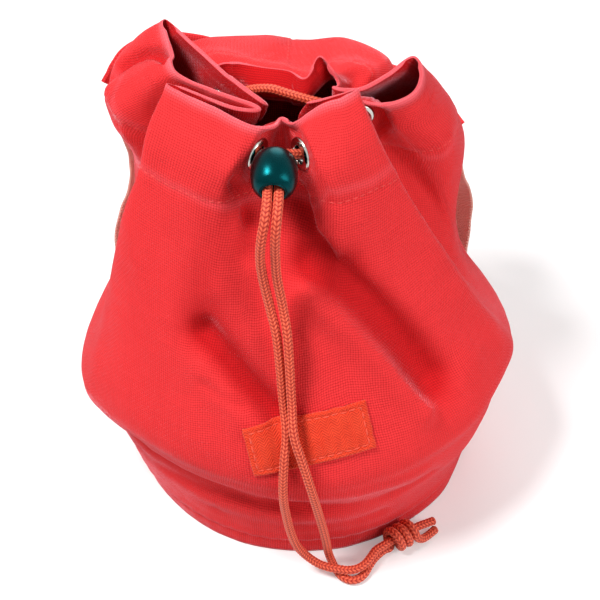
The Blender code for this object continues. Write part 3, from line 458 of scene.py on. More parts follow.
def distance_to_line(points, line):
    """Return the distance from each point to a line of straight stretches."""
    best = np.full(points.shape[:-1], 1e9)
    for a, b in zip(line[:-1], line[1:]):
        step = b - a
        t = np.clip(((points - a) @ step) / (step @ step), 0, 1)
        near = a + t[..., None] * step
        best = np.minimum(best, np.linalg.norm(points - near, axis=-1))
    return best


def press_folds(points, normals, folds):
    """Push folds into the cloth, or out of it where the depth is negative."""
    moved = points.copy()
    for depth, width, line in folds:
        track = np.array(line, dtype=float) * MM
        fade = np.exp(-(distance_to_line(points, track) / (width * MM)) ** 2)
        moved = moved - normals * (depth * MM * fade)[..., None]
    return moved


def eyelet_frames(net):
    """Return the centre and outward normal of every eyelet seat."""
    frames = []
    for name, column, ring, _, _ in EYELET_SEATS:
        points = cloth_points(net, [ring - 0.3, ring, ring + 0.3],
                              [column - 0.3, column, column + 0.3])
        normal = np.cross(points[2, 1] - points[0, 1], points[1, 2] - points[1, 0])
        frames.append((name, points[1, 1], unit(normal)))
    return frames


def flatten_at_eyelets(points, rows, columns, frames):
    """Hold the cloth flat under each eyelet flange and let it curve away beyond."""
    moved = points.copy()
    for (_, _, ring, first, last), (_, centre, normal) in zip(EYELET_SEATS, frames):
        beside = np.clip(1 - np.maximum(first - columns, columns - last) / FLAT_BLEND, 0, 1)
        below = np.clip((FLAT_RINGS - np.abs(np.array(rows) - ring)) / FLAT_BLEND, 0, 1)
        offset = moved - centre
        height = offset @ normal
        reach = np.linalg.norm(offset - height[..., None] * normal, axis=-1)
        fade = np.clip((FLAT_RADIUS + FLAT_FADE - reach) / FLAT_FADE, 0, 1)
        fade = fade * fade * (3 - 2 * fade)
        share = fade * below[:, None] * beside[None, :]
        moved = moved - (share * height)[..., None] * normal
    return moved


def smooth_line(route, steps=24):
    """Return closely spaced points of a smooth curve through the points of a route."""
    points = np.array(route, dtype=float)
    points = np.vstack([2 * points[0] - points[1], points, 2 * points[-1] - points[-2]])
    line = []
    for i in range(1, len(points) - 2):
        for k in range(steps):
            line.append(catmull(*points[i - 1:i + 3], k / steps))
    line.append(points[-2])
    return np.array(line)


def way_run(line):
    """Return the way run along a line at each of its points."""
    return np.concatenate([[0], np.cumsum(np.linalg.norm(np.diff(line, axis=0), axis=1))])


def read_line(at, run, line):
    """Read the values of a line at the way run along it."""
    return np.stack([np.interp(at, run, line[:, k]) for k in range(3)], axis=-1)


def even_line(line, step):
    """Space the points of a line evenly, and return them with the way run at each."""
    run = way_run(line)
    at = np.linspace(0, run[-1], max(2, int(round(run[-1] / step))) + 1)
    return read_line(at, run, line), at


def carried_frames(line):
    """Return the two directions across a line, carried along it without a twist."""
    way = unit(np.gradient(line, axis=0))
    start = np.cross(way[0], (0.0, 0.0, 1.0))
    if np.linalg.norm(start) < 0.1:
        start = np.cross(way[0], (1.0, 0.0, 0.0))
    side = [unit(start)]
    for k in range(1, len(line)):
        last = side[-1] - way[k] * (side[-1] @ way[k])
        side.append(unit(last))
    side = np.array(side)
    return side, np.cross(way, side)


# Meshes.

def grid_quads(rows, count, closed=True, looped=False):
    """Return the faces of a grid, closed across its columns and looped along its rows if told."""
    i = np.arange(rows if looped else rows - 1)[:, None]
    j = np.arange(count if closed else count - 1)[None, :]
    k = (j + 1) % count
    below = (i + 1) % rows
    quads = [i * count + j, i * count + k, below * count + k, below * count + j]
    return np.stack(quads, axis=-1).reshape(-1, 4)


def grid_corners(field):
    """Return a field of a grid at the four corners of each of its faces."""
    corners = [field[:-1, :-1], field[:-1, 1:], field[1:, 1:], field[1:, :-1]]
    return np.stack(corners, axis=2).reshape(-1, 4, field.shape[2])


def make_object(name, points, faces, material, uv=None, marks=None, body="bag", smooth=True):
    """Make an object that rides a body, with its weave coordinates and point marks."""
    mesh = bpy.data.meshes.new(name)
    mesh.from_pydata([tuple(p) for p in np.asarray(points).tolist()], [], [tuple(f) for f in faces])
    mesh.materials.append(material)
    mesh.polygons.foreach_set("use_smooth", [smooth] * len(mesh.polygons))
    if uv is not None:
        layer = mesh.uv_layers.new(name="weave")
        layer.data.foreach_set("uv", np.ascontiguousarray(uv, dtype=np.float32).ravel())
    for key, values in (marks or {}).items():
        mark = mesh.attributes.new(key, "FLOAT", "POINT")
        mark.data.foreach_set("value", np.ascontiguousarray(values, dtype=np.float32).ravel())
    mesh.update()
    item = bpy.data.objects.new(name, mesh)
    bpy.context.scene.collection.objects.link(item)
    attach(item, body)
    return item


def tube_object(name, points, fields, material, marks):
    """Make a closed tube from rings of points, with a fan of faces over each end."""
    rows, count = points.shape[:2]
    ends = [points[0].mean(axis=0), points[-1].mean(axis=0)]
    first = rows * count
    faces = grid_quads(rows, count).tolist()
    for j in range(count):
        k = (j + 1) % count
        faces.append((first, k, j))
        faces.append((first + 1, (rows - 1) * count + j, (rows - 1) * count + k))
    uv = np.vstack([grid_corners(fields).reshape(-1, 2), np.zeros((6 * count, 2))])
    whole = {key: np.concatenate([values.ravel(), [0.0, 0.0]]) for key, values in marks.items()}
    return make_object(name, np.vstack([points.reshape(-1, 3), ends]), faces, material, uv, whole)


# Materials.

class Finish:
    """Builds one procedural material from small sums of nodes."""

    def __init__(self, name):
        self.material = bpy.data.materials.new(name)
        self.material.use_nodes = True
        self.tree = self.material.node_tree
        self.shader = self.tree.nodes["Principled BSDF"]

    def node(self, kind, **settings):
        made = self.tree.nodes.new(kind)
        for key, value in settings.items():
            setattr(made, key, value)
        return made

    def feed(self, socket, value):
        """Link a socket, or set its number or colour."""
        if isinstance(value, bpy.types.NodeSocket):
            self.tree.links.new(value, socket)
        elif socket.type == "RGBA":
            socket.default_value = (*value, 1.0)
        else:
            socket.default_value = value

    def math(self, operation, a, b=0.0):
        made = self.node("ShaderNodeMath", operation=operation)
        self.feed(made.inputs[0], a)
        self.feed(made.inputs[1], b)
        return made.outputs[0]

    def plus(self, *values):
        return reduce(lambda a, b: self.math("ADD", a, b), values)

    def times(self, *values):
        return reduce(lambda a, b: self.math("MULTIPLY", a, b), values)

    def limit(self, value):
        """Hold a value between 0 and 1."""
        return self.math("MAXIMUM", self.math("MINIMUM", value, 1.0), 0.0)

    def place(self):
        """The weave coordinates, as across and along."""
        source = self.node("ShaderNodeUVMap", uv_map="weave")
        split = self.node("ShaderNodeSeparateXYZ")
        self.feed(split.inputs[0], source.outputs[0])
        return split.outputs[0], split.outputs[1]

    def point(self, x, y, z=0.0):
        made = self.node("ShaderNodeCombineXYZ")
        for socket, value in zip(made.inputs, (x, y, z)):
            self.feed(socket, value)
        return made.outputs[0]

    def noise(self, scale, detail=2.0, at=None):
        """Noise at a point, or at the object's own coordinates where no point is given."""
        if at is None:
            at = self.node("ShaderNodeTexCoord").outputs["Object"]
        made = self.node("ShaderNodeTexNoise")
        self.feed(made.inputs["Vector"], at)
        made.inputs["Scale"].default_value = scale
        made.inputs["Detail"].default_value = detail
        return made.outputs["Fac"]

    def mark(self, name):
        return self.node("ShaderNodeAttribute", attribute_name=name).outputs["Fac"]

    def mix(self, share, a, b):
        made = self.node("ShaderNodeMix", data_type="RGBA")
        for index, value in ((0, share), (6, a), (7, b)):
            self.feed(made.inputs[index], value)
        return made.outputs[2]

    def bump(self, height, distance, strength):
        made = self.node("ShaderNodeBump")
        made.inputs["Strength"].default_value = strength
        made.inputs["Distance"].default_value = distance
        self.feed(made.inputs["Height"], height)
        self.feed(self.shader.inputs["Normal"], made.outputs["Normal"])

    def surface(self, colour, **values):
        self.feed(self.shader.inputs["Base Color"], colour)
        for key, value in values.items():
            self.feed(self.shader.inputs[key.replace("_", " ")], value)
        return self.material


def woven_cells(f):
    """Plain weave: return the height of the upper thread, and a tone for each thread."""
    across, along = f.place()
    wander = f.noise(THREAD_WANDER, at=f.point(across, along))
    other = f.noise(THREAD_WANDER, at=f.point(along, across, 3.0))
    warp = f.plus(f.math("DIVIDE", across, CANVAS_THREAD), f.times(wander, 1.6))
    weft = f.plus(f.math("DIVIDE", along, CANVAS_THREAD), f.times(other, 1.6))
    i = f.math("FLOOR", warp)
    j = f.math("FLOOR", weft)
    x = f.math("SUBTRACT", f.math("FRACT", warp), 0.5)
    y = f.math("SUBTRACT", f.math("FRACT", weft), 0.5)
    turn = f.math("MODULO", f.plus(i, j, 4000.0), 2.0)
    rest = f.math("SUBTRACT", 1.0, turn)

    def rise(one, two):
        crown = f.math("SUBTRACT", 1.0, f.times(one, one, 2.9))
        return f.times(crown, f.math("COSINE", f.times(two, 2.1)))

    height = f.plus(f.times(rise(x, y), turn), f.times(rise(y, x), rest, 0.82))
    warp_tone = f.noise(1.0, at=f.point(f.times(i, 7.31), f.times(along, 60.0)))
    weft_tone = f.noise(1.0, at=f.point(f.times(j, 5.17), f.times(across, 60.0), 9.0))
    return height, f.plus(f.times(warp_tone, turn), f.times(weft_tone, rest))


def canvas_material(name, pale, deep):
    """Coarse cotton canvas: uneven threads and nap, with painted shade between threads, in folds and on
    the inner face, and pale for wear and a painted sheen.
    """
    f = Finish(name)
    height, tone = woven_cells(f)
    cloud = f.noise(26.0, 3.0)
    nap = f.noise(1900.0, 1.0)
    # The deep colour in the gaps between threads is painted shade; the thread tone and cloud are the
    # canvas's own.
    share = f.limit(f.plus(f.times(height, 1.45), f.times(tone, 0.60), f.times(cloud, 0.25), -0.36))
    shaded = f.mix(share, SHADE_DEEP, SHADE_PALE)
    # Painted shade in the folds and on the inner face.
    colour = f.mix(f.times(f.mark("painted_shade"), 0.85), f.mix(share, deep, pale), shaded)
    # Wear and a painted sheen: paler pink on the rim and hem, most on the thread crowns.
    wear_and_sheen = f.times(f.mark("wear_and_sheen_mark"), f.plus(0.25, f.times(height, 0.5)))
    f.bump(f.plus(height, f.times(nap, 0.35), f.times(tone, 0.3)), 0.00028, 0.9)
    return f.surface(f.mix(wear_and_sheen, colour, WORN_SHEEN_PINK), Roughness=f.plus(0.80, f.times(tone, 0.15)),
                     Specular_IOR_Level=0.08, Sheen_Weight=0.60, Sheen_Roughness=0.20,
                     Sheen_Tint=(1.0, 0.60, 0.70))


def braid_material():
    """Braided polyester cord: bright crowns on the strands and dark gaps between them."""
    f = Finish("braid")
    crown = f.mark("braid")
    fibre = f.noise(2400.0, 1.0)
    cloud = f.noise(60.0)
    share = f.limit(f.plus(f.times(crown, 1.55), f.times(fibre, 0.22), f.times(cloud, 0.2), -0.58))
    f.bump(f.plus(fibre, f.times(crown, 0.6)), 0.00018, 0.7)
    return f.surface(f.mix(share, BRAID_DEEP, BRAID_PALE), Roughness=f.plus(0.5, f.times(fibre, 0.25)),
                     Specular_IOR_Level=0.35, Sheen_Weight=0.25, Sheen_Roughness=0.4,
                     Sheen_Tint=(1.0, 0.8, 0.7))


def herringbone_material():
    """Herringbone tape of the patch: zigzag ribs with soft fibres."""
    f = Finish("herringbone")
    across, along = f.place()
    wander = f.noise(130.0, at=f.point(across, along))
    column = f.math("PINGPONG", f.plus(across, f.times(wander, 0.0012)), ZIGZAG)
    run = f.plus(along, column, f.times(wander, 0.0010))
    wave = f.math("SINE", f.times(run, 2 * math.pi / ZIGZAG_RIB))
    fibre = f.noise(1500.0)
    cloud = f.noise(150.0)
    share = f.limit(f.plus(f.times(wave, 0.26), f.times(fibre, 0.5), f.times(cloud, 0.5)))
    f.bump(f.plus(f.times(wave, 0.5), fibre), 0.00028, 0.9)
    return f.surface(f.mix(share, TAPE_DEEP, TAPE_PALE), Roughness=f.plus(0.8, f.times(fibre, 0.15)),
                     Specular_IOR_Level=0.2, Sheen_Weight=0.3, Sheen_Roughness=0.4,
                     Sheen_Tint=(1.0, 0.7, 0.6))


def webbing_material():
    """Flat woven webbing with ribs across it."""
    f = Finish("webbing")
    across, along = f.place()
    rib = f.math("SINE", f.times(along, 2 * math.pi / WEBBING_RIB))
    lane = f.math("SINE", f.times(across, 2 * math.pi / WEBBING_LANE))
    fibre = f.noise(1700.0, 1.0)
    cloud = f.noise(80.0)
    height = f.plus(f.times(rib, lane), f.times(fibre, 0.6))
    share = f.limit(f.plus(f.times(height, 0.3), f.times(cloud, 0.6), 0.1))
    f.bump(height, 0.0003, 0.8)
    return f.surface(f.mix(share, WEBBING_DEEP, WEBBING_PALE),
                     Roughness=f.plus(0.6, f.times(fibre, 0.2)),
                     Specular_IOR_Level=0.3, Sheen_Weight=0.2, Sheen_Roughness=0.4)


def nickel_material():
    """Polished nickel with a faint tarnish, and painted shade inside the bores and on the washers."""
    f = Finish("nickel")
    smear = f.noise(400.0, 3.0)
    # Painted shade where the inside mark is set: the bores, and the washers in part.
    colour = f.mix(f.mark("inside"), f.mix(smear, NICKEL_DEEP, NICKEL_PALE), NICKEL_PAINTED_SHADE)
    f.bump(f.noise(3500.0, 1.0), 0.00003, 0.5)
    return f.surface(colour, Metallic=1.0, Roughness=f.plus(0.07, f.times(smear, 0.13)))


def bead_material():
    """Dark teal plastic with a metallic shine, small dimples and a fine grain."""
    f = Finish("bead_plastic")
    cloud = f.noise(190.0, 3.0)
    grain = f.noise(2600.0)
    f.bump(f.plus(f.times(cloud, 0.8), grain), 0.00006, 0.5)
    return f.surface(f.mix(cloud, BEAD_DEEP, BEAD_PALE), Metallic=1.0,
                     Roughness=f.plus(0.22, f.times(grain, 0.12)))


def thread_material(name, pale, deep):
    """Sewing thread with its fibres showing."""
    f = Finish(name)
    fibre = f.noise(3000.0)
    cloud = f.noise(120.0)
    share = f.limit(f.plus(f.times(fibre, 0.6), f.times(cloud, 0.5)))
    f.bump(fibre, 0.0001, 0.7)
    return f.surface(f.mix(share, deep, pale), Roughness=f.plus(0.55, f.times(fibre, 0.2)),
                     Sheen_Weight=0.3, Sheen_Roughness=0.4)


# The cloth.

def fine_rows():
    """Return the rows of the outer face, closer together where the cloth has detail."""
    rows = []
    for ring, count in enumerate(ROWS_PER_RING):
        rows += [ring + k / count for k in range(count)]
    return np.array(rows + [float(len(ROWS_PER_RING))])


def weave_fields(points):
    """Lay the threads out on the cloth: the way round it and the way down it at each point."""
    around = np.linalg.norm(np.roll(points, -1, axis=1) - points, axis=2)
    even = around.copy()
    for k in range(1, EVEN_ROWS + 1):
        even += np.roll(around, k, axis=0) + np.roll(around, -k, axis=0)
    even[:EVEN_ROWS] = around[:EVEN_ROWS]
    even[-EVEN_ROWS:] = around[-EVEN_ROWS:]
    start = np.zeros((len(points), 1))
    across = np.concatenate([start, np.cumsum(even, axis=1)], axis=1)
    across = across / across[:, -1:] * CLOTH_ROUND
    down = np.linalg.norm(np.diff(points, axis=0), axis=2)
    from_rim = np.vstack([np.zeros(points.shape[1]), np.cumsum(down, axis=0)])
    total = from_rim[-1:]
    share = from_rim / total
    share = share * share * (3 - 2 * share)
    along = (1 - share) * from_rim + share * (CLOTH_DEEP - total + from_rim)
    along = np.concatenate([along, along[:, :1]], axis=1)
    return across, along, from_rim


def noise_field(points, scale, seed):
    """Smooth noise at each point, with a spacing of about one over the scale."""
    shift = np.array((seed * 3.1, seed * 7.7, seed * 1.3))
    places = points.reshape(-1, 3) * scale + shift
    values = [noise.noise(Vector(p)) for p in places.tolist()]
    return np.array(values).reshape(points.shape[:-1])


def groove(distance, width):
    """A soft bell over distance, 1 in its middle."""
    return np.exp(-(distance / width) ** 2)


def relief(distance, shape):
    """A ridge along a line, or a groove where its height is negative."""
    height, width = shape
    return height * groove(distance, width)


def dressed_cloth(points, rows, columns, across, from_rim):
    """Add hem, seams, puckers and small rumples to the outer face."""
    normals = cloth_normals(points)
    row = np.array(rows)[:, None]
    hem_run = np.interp(HEM_ROW, rows, np.arange(len(rows)))
    low = int(hem_run)
    hem_line = from_rim[low] + (from_rim[low + 1] - from_rim[low]) * (hem_run - low)
    to_hem = from_rim - hem_line[None, :]
    to_base = from_rim[-1:] - from_rim - BASE_SEAM
    u = across[:, :-1]
    pucker = np.sin(u * 2 * math.pi / HEM_PITCH + 2.5 * np.sin(u * 60)) * (0.6 + 0.4 * np.sin(u * 137))
    step = HEM_STEP / (1 + np.exp(to_hem / HEM_STEP_WIDTH))
    lift = relief(to_hem, HEM_GROOVE) + step + pucker * relief(to_hem, HEM_PUCKER)
    lift += relief(from_rim - RIM_RIDGE_INSET, RIM_RIDGE)
    lift += relief(to_base, BASE_GROOVE) + relief(to_base - BASE_RIDGE_INSET, BASE_RIDGE)
    lift += np.sin(u * 2 * math.pi / BASE_PITCH) * relief(to_base, BASE_PUCKER)
    seam = (columns[None, :] - SEAM_COLUMN) * COLUMN_WIDTH + 0 * row
    lift += np.where(row > SEAM_TOP, relief(seam, BACK_GROOVE), 0.0)
    for seed, (scale, height) in enumerate(RUMPLES, 1):
        lift += height * noise_field(points, scale, seed)
    return points + normals * lift[..., None], normals


def room_inside(tree, points, normals, limit):
    """Return how thick the wall may be at each point before it meets itself inside a fold."""
    room = np.full(points.shape[:2], limit)
    for i in range(points.shape[0]):
        for j in range(points.shape[1]):
            inward = -Vector(normals[i, j])
            hit = tree.ray_cast(Vector(points[i, j]) + inward * RAY_START, inward, 6 * limit)
            if hit[0] is not None:
                room[i, j] = min(limit, ROOM_SHARE * (hit[3] + RAY_START))
    before = np.roll(points, 1, axis=1)
    after = np.roll(points, -1, axis=1)
    sag = np.sum((2 * points - before - after) * normals, axis=2)
    span = np.sum((after - before) ** 2, axis=2) / 4
    room = np.where(sag > 1e-9, np.minimum(room, 0.5 * span / np.maximum(sag, 1e-9)), room)
    least = np.min([np.roll(room, k, axis=1) for k in range(-4, 5)], axis=0)
    least[1:-1] = np.minimum(least[1:-1], np.minimum(least[:-2], least[2:]))
    return np.maximum(least, LEAST_WALL)


def grid_tree(points):
    """Return a search tree of a closed grid of points."""
    quads = grid_quads(points.shape[0], points.shape[1]).tolist()
    return BVHTree.FromPolygons([tuple(p) for p in points.reshape(-1, 3)], [tuple(q) for q in quads])


def rim_roll(outer, inner):
    """Round the folded top edge over from the outer to the inner face."""
    rings = []
    up = unit(outer[0] - outer[2])
    half = (outer[0] - inner[0]) / 2
    middle = (outer[0] + inner[0]) / 2
    size = np.linalg.norm(half, axis=1, keepdims=True)
    for angle in (30, 60, 90, 120, 150):
        turn = math.radians(angle)
        rings.append(middle + half * math.cos(turn) + up * size * 0.8 * math.sin(turn))
    return np.array(rings)


def outside_holes(centres, frames):
    """Return which faces lie outside the holes of the eyelets."""
    keep = np.ones(len(centres), bool)
    hole = EYELET_BORE / 2 + EYELET_METAL + GAP
    for _, centre, normal in frames:
        offset = centres - centre
        height = offset @ normal
        reach = np.linalg.norm(offset - height[:, None] * normal, axis=1)
        keep &= ~((reach < hole) & (np.abs(height) < HOLE_DEPTH))
    return keep


def build_cloth(net, frames, material):
    """The canvas wall: outer face, rolled rim and inner face, closed at the bottom edge."""
    rows = fine_rows()
    columns = np.arange(0, net.shape[1], 1.0 / SAMPLES_PER_COLUMN)
    smooth = cloth_points(net, rows, columns)
    points = press_folds(smooth, cloth_normals(smooth), SOFT_FOLDS)
    points = press_folds(points, cloth_normals(points), FINE_FOLDS)
    sunk = np.sum((smooth - points) * cloth_normals(smooth), axis=2)
    points = flatten_at_eyelets(points, rows, columns, frames)
    across, along, from_rim = weave_fields(points)
    outer, normals = dressed_cloth(points, rows, columns, across, from_rim)
    inward = sum(np.roll(normals, k, axis=1) for k in range(-3, 4))
    inward[-1, :, 2] = 0
    inward = unit(inward)
    last = len(rows) - 1
    picks = [i for i in range(last + 1)
             if rows[i] < INNER_FINE_TO or i % INNER_EVERY == 0 or i == last]
    room = room_inside(grid_tree(points), points[picks], inward[picks], HEM_CANVAS)
    thickness = np.where(rows[picks][:, None] <= HEM_END, HEM_CANVAS, CANVAS)
    inner = outer[picks] - inward[picks] * np.minimum(room, thickness)[..., None]
    roll = rim_roll(outer, inner)
    grid = np.concatenate([inner[::-1], roll[::-1], outer])
    u_rows = np.concatenate([across[picks][::-1], np.repeat(across[:1], len(roll), axis=0), across])
    roll_v = np.linspace(*ROLL_WEAVE, len(roll))[:, None] + 0 * along[:1]
    v_rows = np.concatenate([INSIDE_WEAVE - along[picks][::-1], roll_v, along])
    inside = 0 * inner[..., 0]
    edge = 0 * roll[..., 0]
    # Wear and a painted sheen on the rolled rim, along the top edge and at the hem.
    wear_and_sheen = relief(from_rim, WORN_SHEEN_EDGE) + relief(from_rim - HEM_DEEP, WORN_SHEEN_HEM)
    # Painted shade: deeper where the folds sink the cloth, and whole on the inner face.
    painted_shade = PAINTED_SHADE_MOST * np.clip(sunk / PAINTED_SHADE_DEPTH, 0, 1)
    marks = {"wear_and_sheen_mark": np.concatenate([inside, edge + WORN_SHEEN_ROLL, wear_and_sheen]),
             "painted_shade": np.concatenate([inside + 1, edge, painted_shade])}
    quads = grid_quads(grid.shape[0], grid.shape[1], looped=True)
    uv = grid_corners(np.stack([u_rows, v_rows], axis=-1))
    uv = np.concatenate([uv, uv[-grid.shape[1]:]])
    places = grid.reshape(-1, 3)
    keep = outside_holes(places[quads].mean(axis=1), frames)
    cloth = make_object("canvas_wall", places, quads[keep].tolist(), material, uv[keep], marks)
    line_holes(cloth, frames)
    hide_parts("body_canvas")
    return {"outer": outer, "normals": normals, "rows": rows, "tree": grid_tree(outer), "inner": inner}


def line_holes(cloth, frames):
    """Join the outer and the inner face round each eyelet hole."""
    shape = bmesh.new()
    shape.from_mesh(cloth.data)
    for _, centre, _ in frames:
        near = Vector(centre)
        edges = [e for e in shape.edges
                 if e.is_boundary and (e.verts[0].co - near).length < HOLE_SEARCH]
        bmesh.ops.bridge_loops(shape, edges=edges)
    for face in shape.faces:
        face.smooth = True
    shape.to_mesh(cloth.data)
    shape.free()


def on_cloth(cloth, row, column):
    """Return the place and normal of the outer face at a row and column."""
    r = float(np.interp(row, cloth["rows"], np.arange(len(cloth["rows"]))))
    c = (column * SAMPLES_PER_COLUMN) % cloth["outer"].shape[1]
    i = min(int(r), len(cloth["rows"]) - 2)
    j = int(c)
    k = (j + 1) % cloth["outer"].shape[1]
    a = r - i
    b = c - j
    result = []
    for field in (cloth["outer"], cloth["normals"]):
        one = field[i, j] * (1 - b) + field[i, k] * b
        two = field[i + 1, j] * (1 - b) + field[i + 1, k] * b
        result.append(one * (1 - a) + two * a)
    return result[0], unit(result[1])


def stitch_run(places, normals, length, space, radius, lift):
    """Lay rounded stitches end to end along a line on a surface."""
    points = []
    quads = []
    run = way_run(places)
    for n in range(int(run[-1] / (length + space))):
        base = len(points)
        for share, size in STITCH_PROFILE:
            at = n * (length + space) + share * length
            place = read_line(at, run, places)
            ahead = read_line(at + STITCH_AHEAD, run, places) - place
            out = unit(read_line(at, run, normals))
            side = unit(np.cross(ahead, out))
            sink = lift - STITCH_SINK * radius * (1 - size)
            for m in range(STITCH_SIDES):
                turn = 2 * math.pi * m / STITCH_SIDES
                points.append(place + out * (sink + radius * size * math.sin(turn))
                              + side * radius * size * math.cos(turn))
        quads += (grid_quads(len(STITCH_PROFILE), STITCH_SIDES) + base).tolist()
        quads.append([base + m for m in reversed(range(STITCH_SIDES))])
        quads.append([len(points) - STITCH_SIDES + m for m in range(STITCH_SIDES)])
    return points, quads


def stitches(name, lines, material, length=0.0027, space=0.0007, radius=0.00030, lift=0.00008):
    """One object with the stitches of several lines."""
    points = []
    faces = []
    for places, normals in lines:
        more, quads = stitch_run(np.array(places), np.array(normals), length, space, radius, lift)
        faces += [[q + len(points) for q in face] for face in quads]
        points += more
    make_object(name, points, faces, material)


def build_hem_stitches(cloth, material):
    """The line of stitches that holds the hem, and the one beside the back seam."""
    hem = [on_cloth(cloth, HEM_ROW, c) for c in np.arange(0, len(RIM) + 0.001, 0.05)]
    back = [on_cloth(cloth, r, SEAM_COLUMN + 0.16) for r in np.arange(2.1, 9.6, 0.04)]
    lines = [([p for p, _ in seam], [n for _, n in seam]) for seam in (hem, back)]
    stitches("hem_stitches", lines, material, length=0.0024, space=0.0011,
             radius=0.00024, lift=0.00002)


def build_base(cloth, material):
    """The round base of canvas, with a shallow sewn edge, cut to fit inside the wall."""
    edge = cloth["inner"][-1]
    shrink = 1 - 2 * GAP / float(np.min(np.linalg.norm(edge[:, :2], axis=1)))
    rings = []
    fields = []
    for height, sign, order in ((BASE_CLEAR, 1, BASE_SHARES), (BASE_THICK, -1, BASE_SHARES[::-1])):
        for share in order:
            z = height + sign * relief((share - BASE_DIP_SHARE) * BASE_SPAN, BASE_DIP)
            ring = np.column_stack([edge[:, :2] * shrink * share, np.full(len(edge), z)])
            rings.append(ring)
            fields.append(np.concatenate([ring[:, :2], ring[:1, :2]]))
    rings = np.array(rings)
    count = rings.shape[1]
    last = (len(rings) - 1) * count
    caps = [range(count), [last + j for j in reversed(range(count))]]
    uv = grid_corners(np.array(fields)).reshape(-1, 2)
    uv = np.concatenate([uv, fields[0][:-1], fields[-1][:-1][::-1]])
    base = make_object("canvas_base", rings.reshape(-1, 3), grid_quads(len(rings), count).tolist() + caps,
                       material, uv, smooth=False)
    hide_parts("base_panel")


# The cord.

def braid_height(turn, run):
    """Height of the braid, from 0 in its gaps to 1 on its strands."""
    lane = turn * BRAID_LANES
    cell = np.floor(lane)
    share = lane - cell
    lean = np.where(cell % 2 == 0, share, 1 - share)
    stroke = (run / BRAID_PITCH + BRAID_LEAN * lean) % 1
    ridge = np.sin(np.pi * stroke) ** 0.8
    crown = np.sin(np.pi * np.clip(share * 0.94 + 0.03, 0, 1)) ** 0.6
    return ridge * crown


def braided_cord(name, line, material, nodes, cut_end=False):
    """Sweep the braid along a line, and round off its last end where it is cut and melted."""
    path, run = even_line(line, BRAID_STEP)
    side, top = carried_frames(path)
    turns = np.arange(BRAID_SIDES) / BRAID_SIDES
    angle = turns * 2 * math.pi
    height = braid_height(turns[None, :] + BRAID_DRIFT * run[:, None], run[:, None])
    radius = CORD / 2 * (BRAID_CORE + BRAID_RELIEF * height)
    if cut_end:
        to_end = run[-1] - run
        tip = np.clip(to_end / TIP_LENGTH, 0, 1)[:, None]
        flare = relief(to_end - FLARE_INSET, TIP_FLARE)[:, None]
        radius = radius * (TIP_SHARE + (1 - TIP_SHARE) * np.sqrt(tip)) + flare
    ring = side[:, None, :] * np.cos(angle)[None, :, None] + top[:, None, :] * np.sin(angle)[None, :, None]
    points = path[:, None, :] + ring * radius[..., None]
    round_it = np.append(turns, 1.0) * math.pi * CORD
    field = np.stack(np.broadcast_arrays(round_it[None, :], run[:, None]), axis=-1)
    item = tube_object(name, points, field, material, {"braid": height})
    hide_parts(*nodes)
    return item, path


def knot_line():
    """The turns that the right strand takes about the straight end of the left one."""
    centre = np.array(KNOT_CENTRE) * MM
    way = np.array(KNOT_AXIS) / np.linalg.norm(KNOT_AXIS)
    across = np.cross((0, 0, 1), way)
    radius = CORD + 2.2 * GAP
    pitch = CORD + GAP
    steps = round(KNOT_WRAPS * 8)
    coil = [np.array(p) * MM for p in KNOT_LEAD]
    for k in range(steps + 1):
        turn = 2 * math.pi * KNOT_WRAPS * k / steps
        along = pitch * KNOT_WRAPS * (k / steps - 0.5)
        aside = across * math.sin(turn) - np.array((0, 0, 1)) * math.cos(turn)
        coil.append(centre + way * along + aside * radius)
    coil += [np.array(p) * MM for p in KNOT_TAIL]
    return smooth_line(coil, 12)


def build_cords(material):
    """The drawstring: its loop through the eyelets, its two free strands and their knot."""
    neck, left, right = [smooth_line(np.array(route, dtype=float) * MM)
                         for route in (NECK_ROUTE, LEFT_ROUTE, RIGHT_ROUTE)]
    for line in (neck, left, right):
        line[:, 2] = np.maximum(line[:, 2], CORD / 2 + 0.0001)
    braided_cord("braid_neck", neck, material, ["drawstring_neck"])
    knot, _ = braided_cord("braid_knot", knot_line(), material, ["cord_knot"], True)
    one, one_path = braided_cord("braid_left", left, material, ["strand_left"], True)
    two, two_path = braided_cord("braid_right", right, material, ["strand_right"])


# Metal and plastic.

def turned_object(name, profile, segments, material, centre, axis, inside=None, body="bag"):
    """Turn a closed profile of radius and height about an axis through a centre."""
    profile = np.array(profile)
    angle = np.arange(segments) * 2 * math.pi / segments
    ring = np.stack([np.cos(angle), np.sin(angle), np.zeros(segments)], axis=1)
    points = profile[:, None, 0:1] * ring[None] + profile[:, None, 1:2] * np.array((0, 0, 1.0))
    turn = Vector(axis).to_track_quat("Z", "Y").to_matrix().to_4x4()
    seat = Matrix.Translation(Vector(centre)) @ turn
    places = [tuple(seat @ Vector(p)) for p in points.reshape(-1, 3).tolist()]
    faces = grid_quads(len(profile), segments, looped=True).tolist()
    marks = {} if inside is None else {"inside": np.repeat(inside, segments)}
    return make_object(name, places, faces, material, None, marks, body)


def arc(centre, radius, first, last, count):
    """Points on an arc of a profile, in degrees from the outward direction."""
    turns = [math.radians(first + (last - first) * k / (count - 1)) for k in range(count)]
    return [(centre[0] + radius[0] * math.cos(t), centre[1] + radius[1] * math.sin(t)) for t in turns]


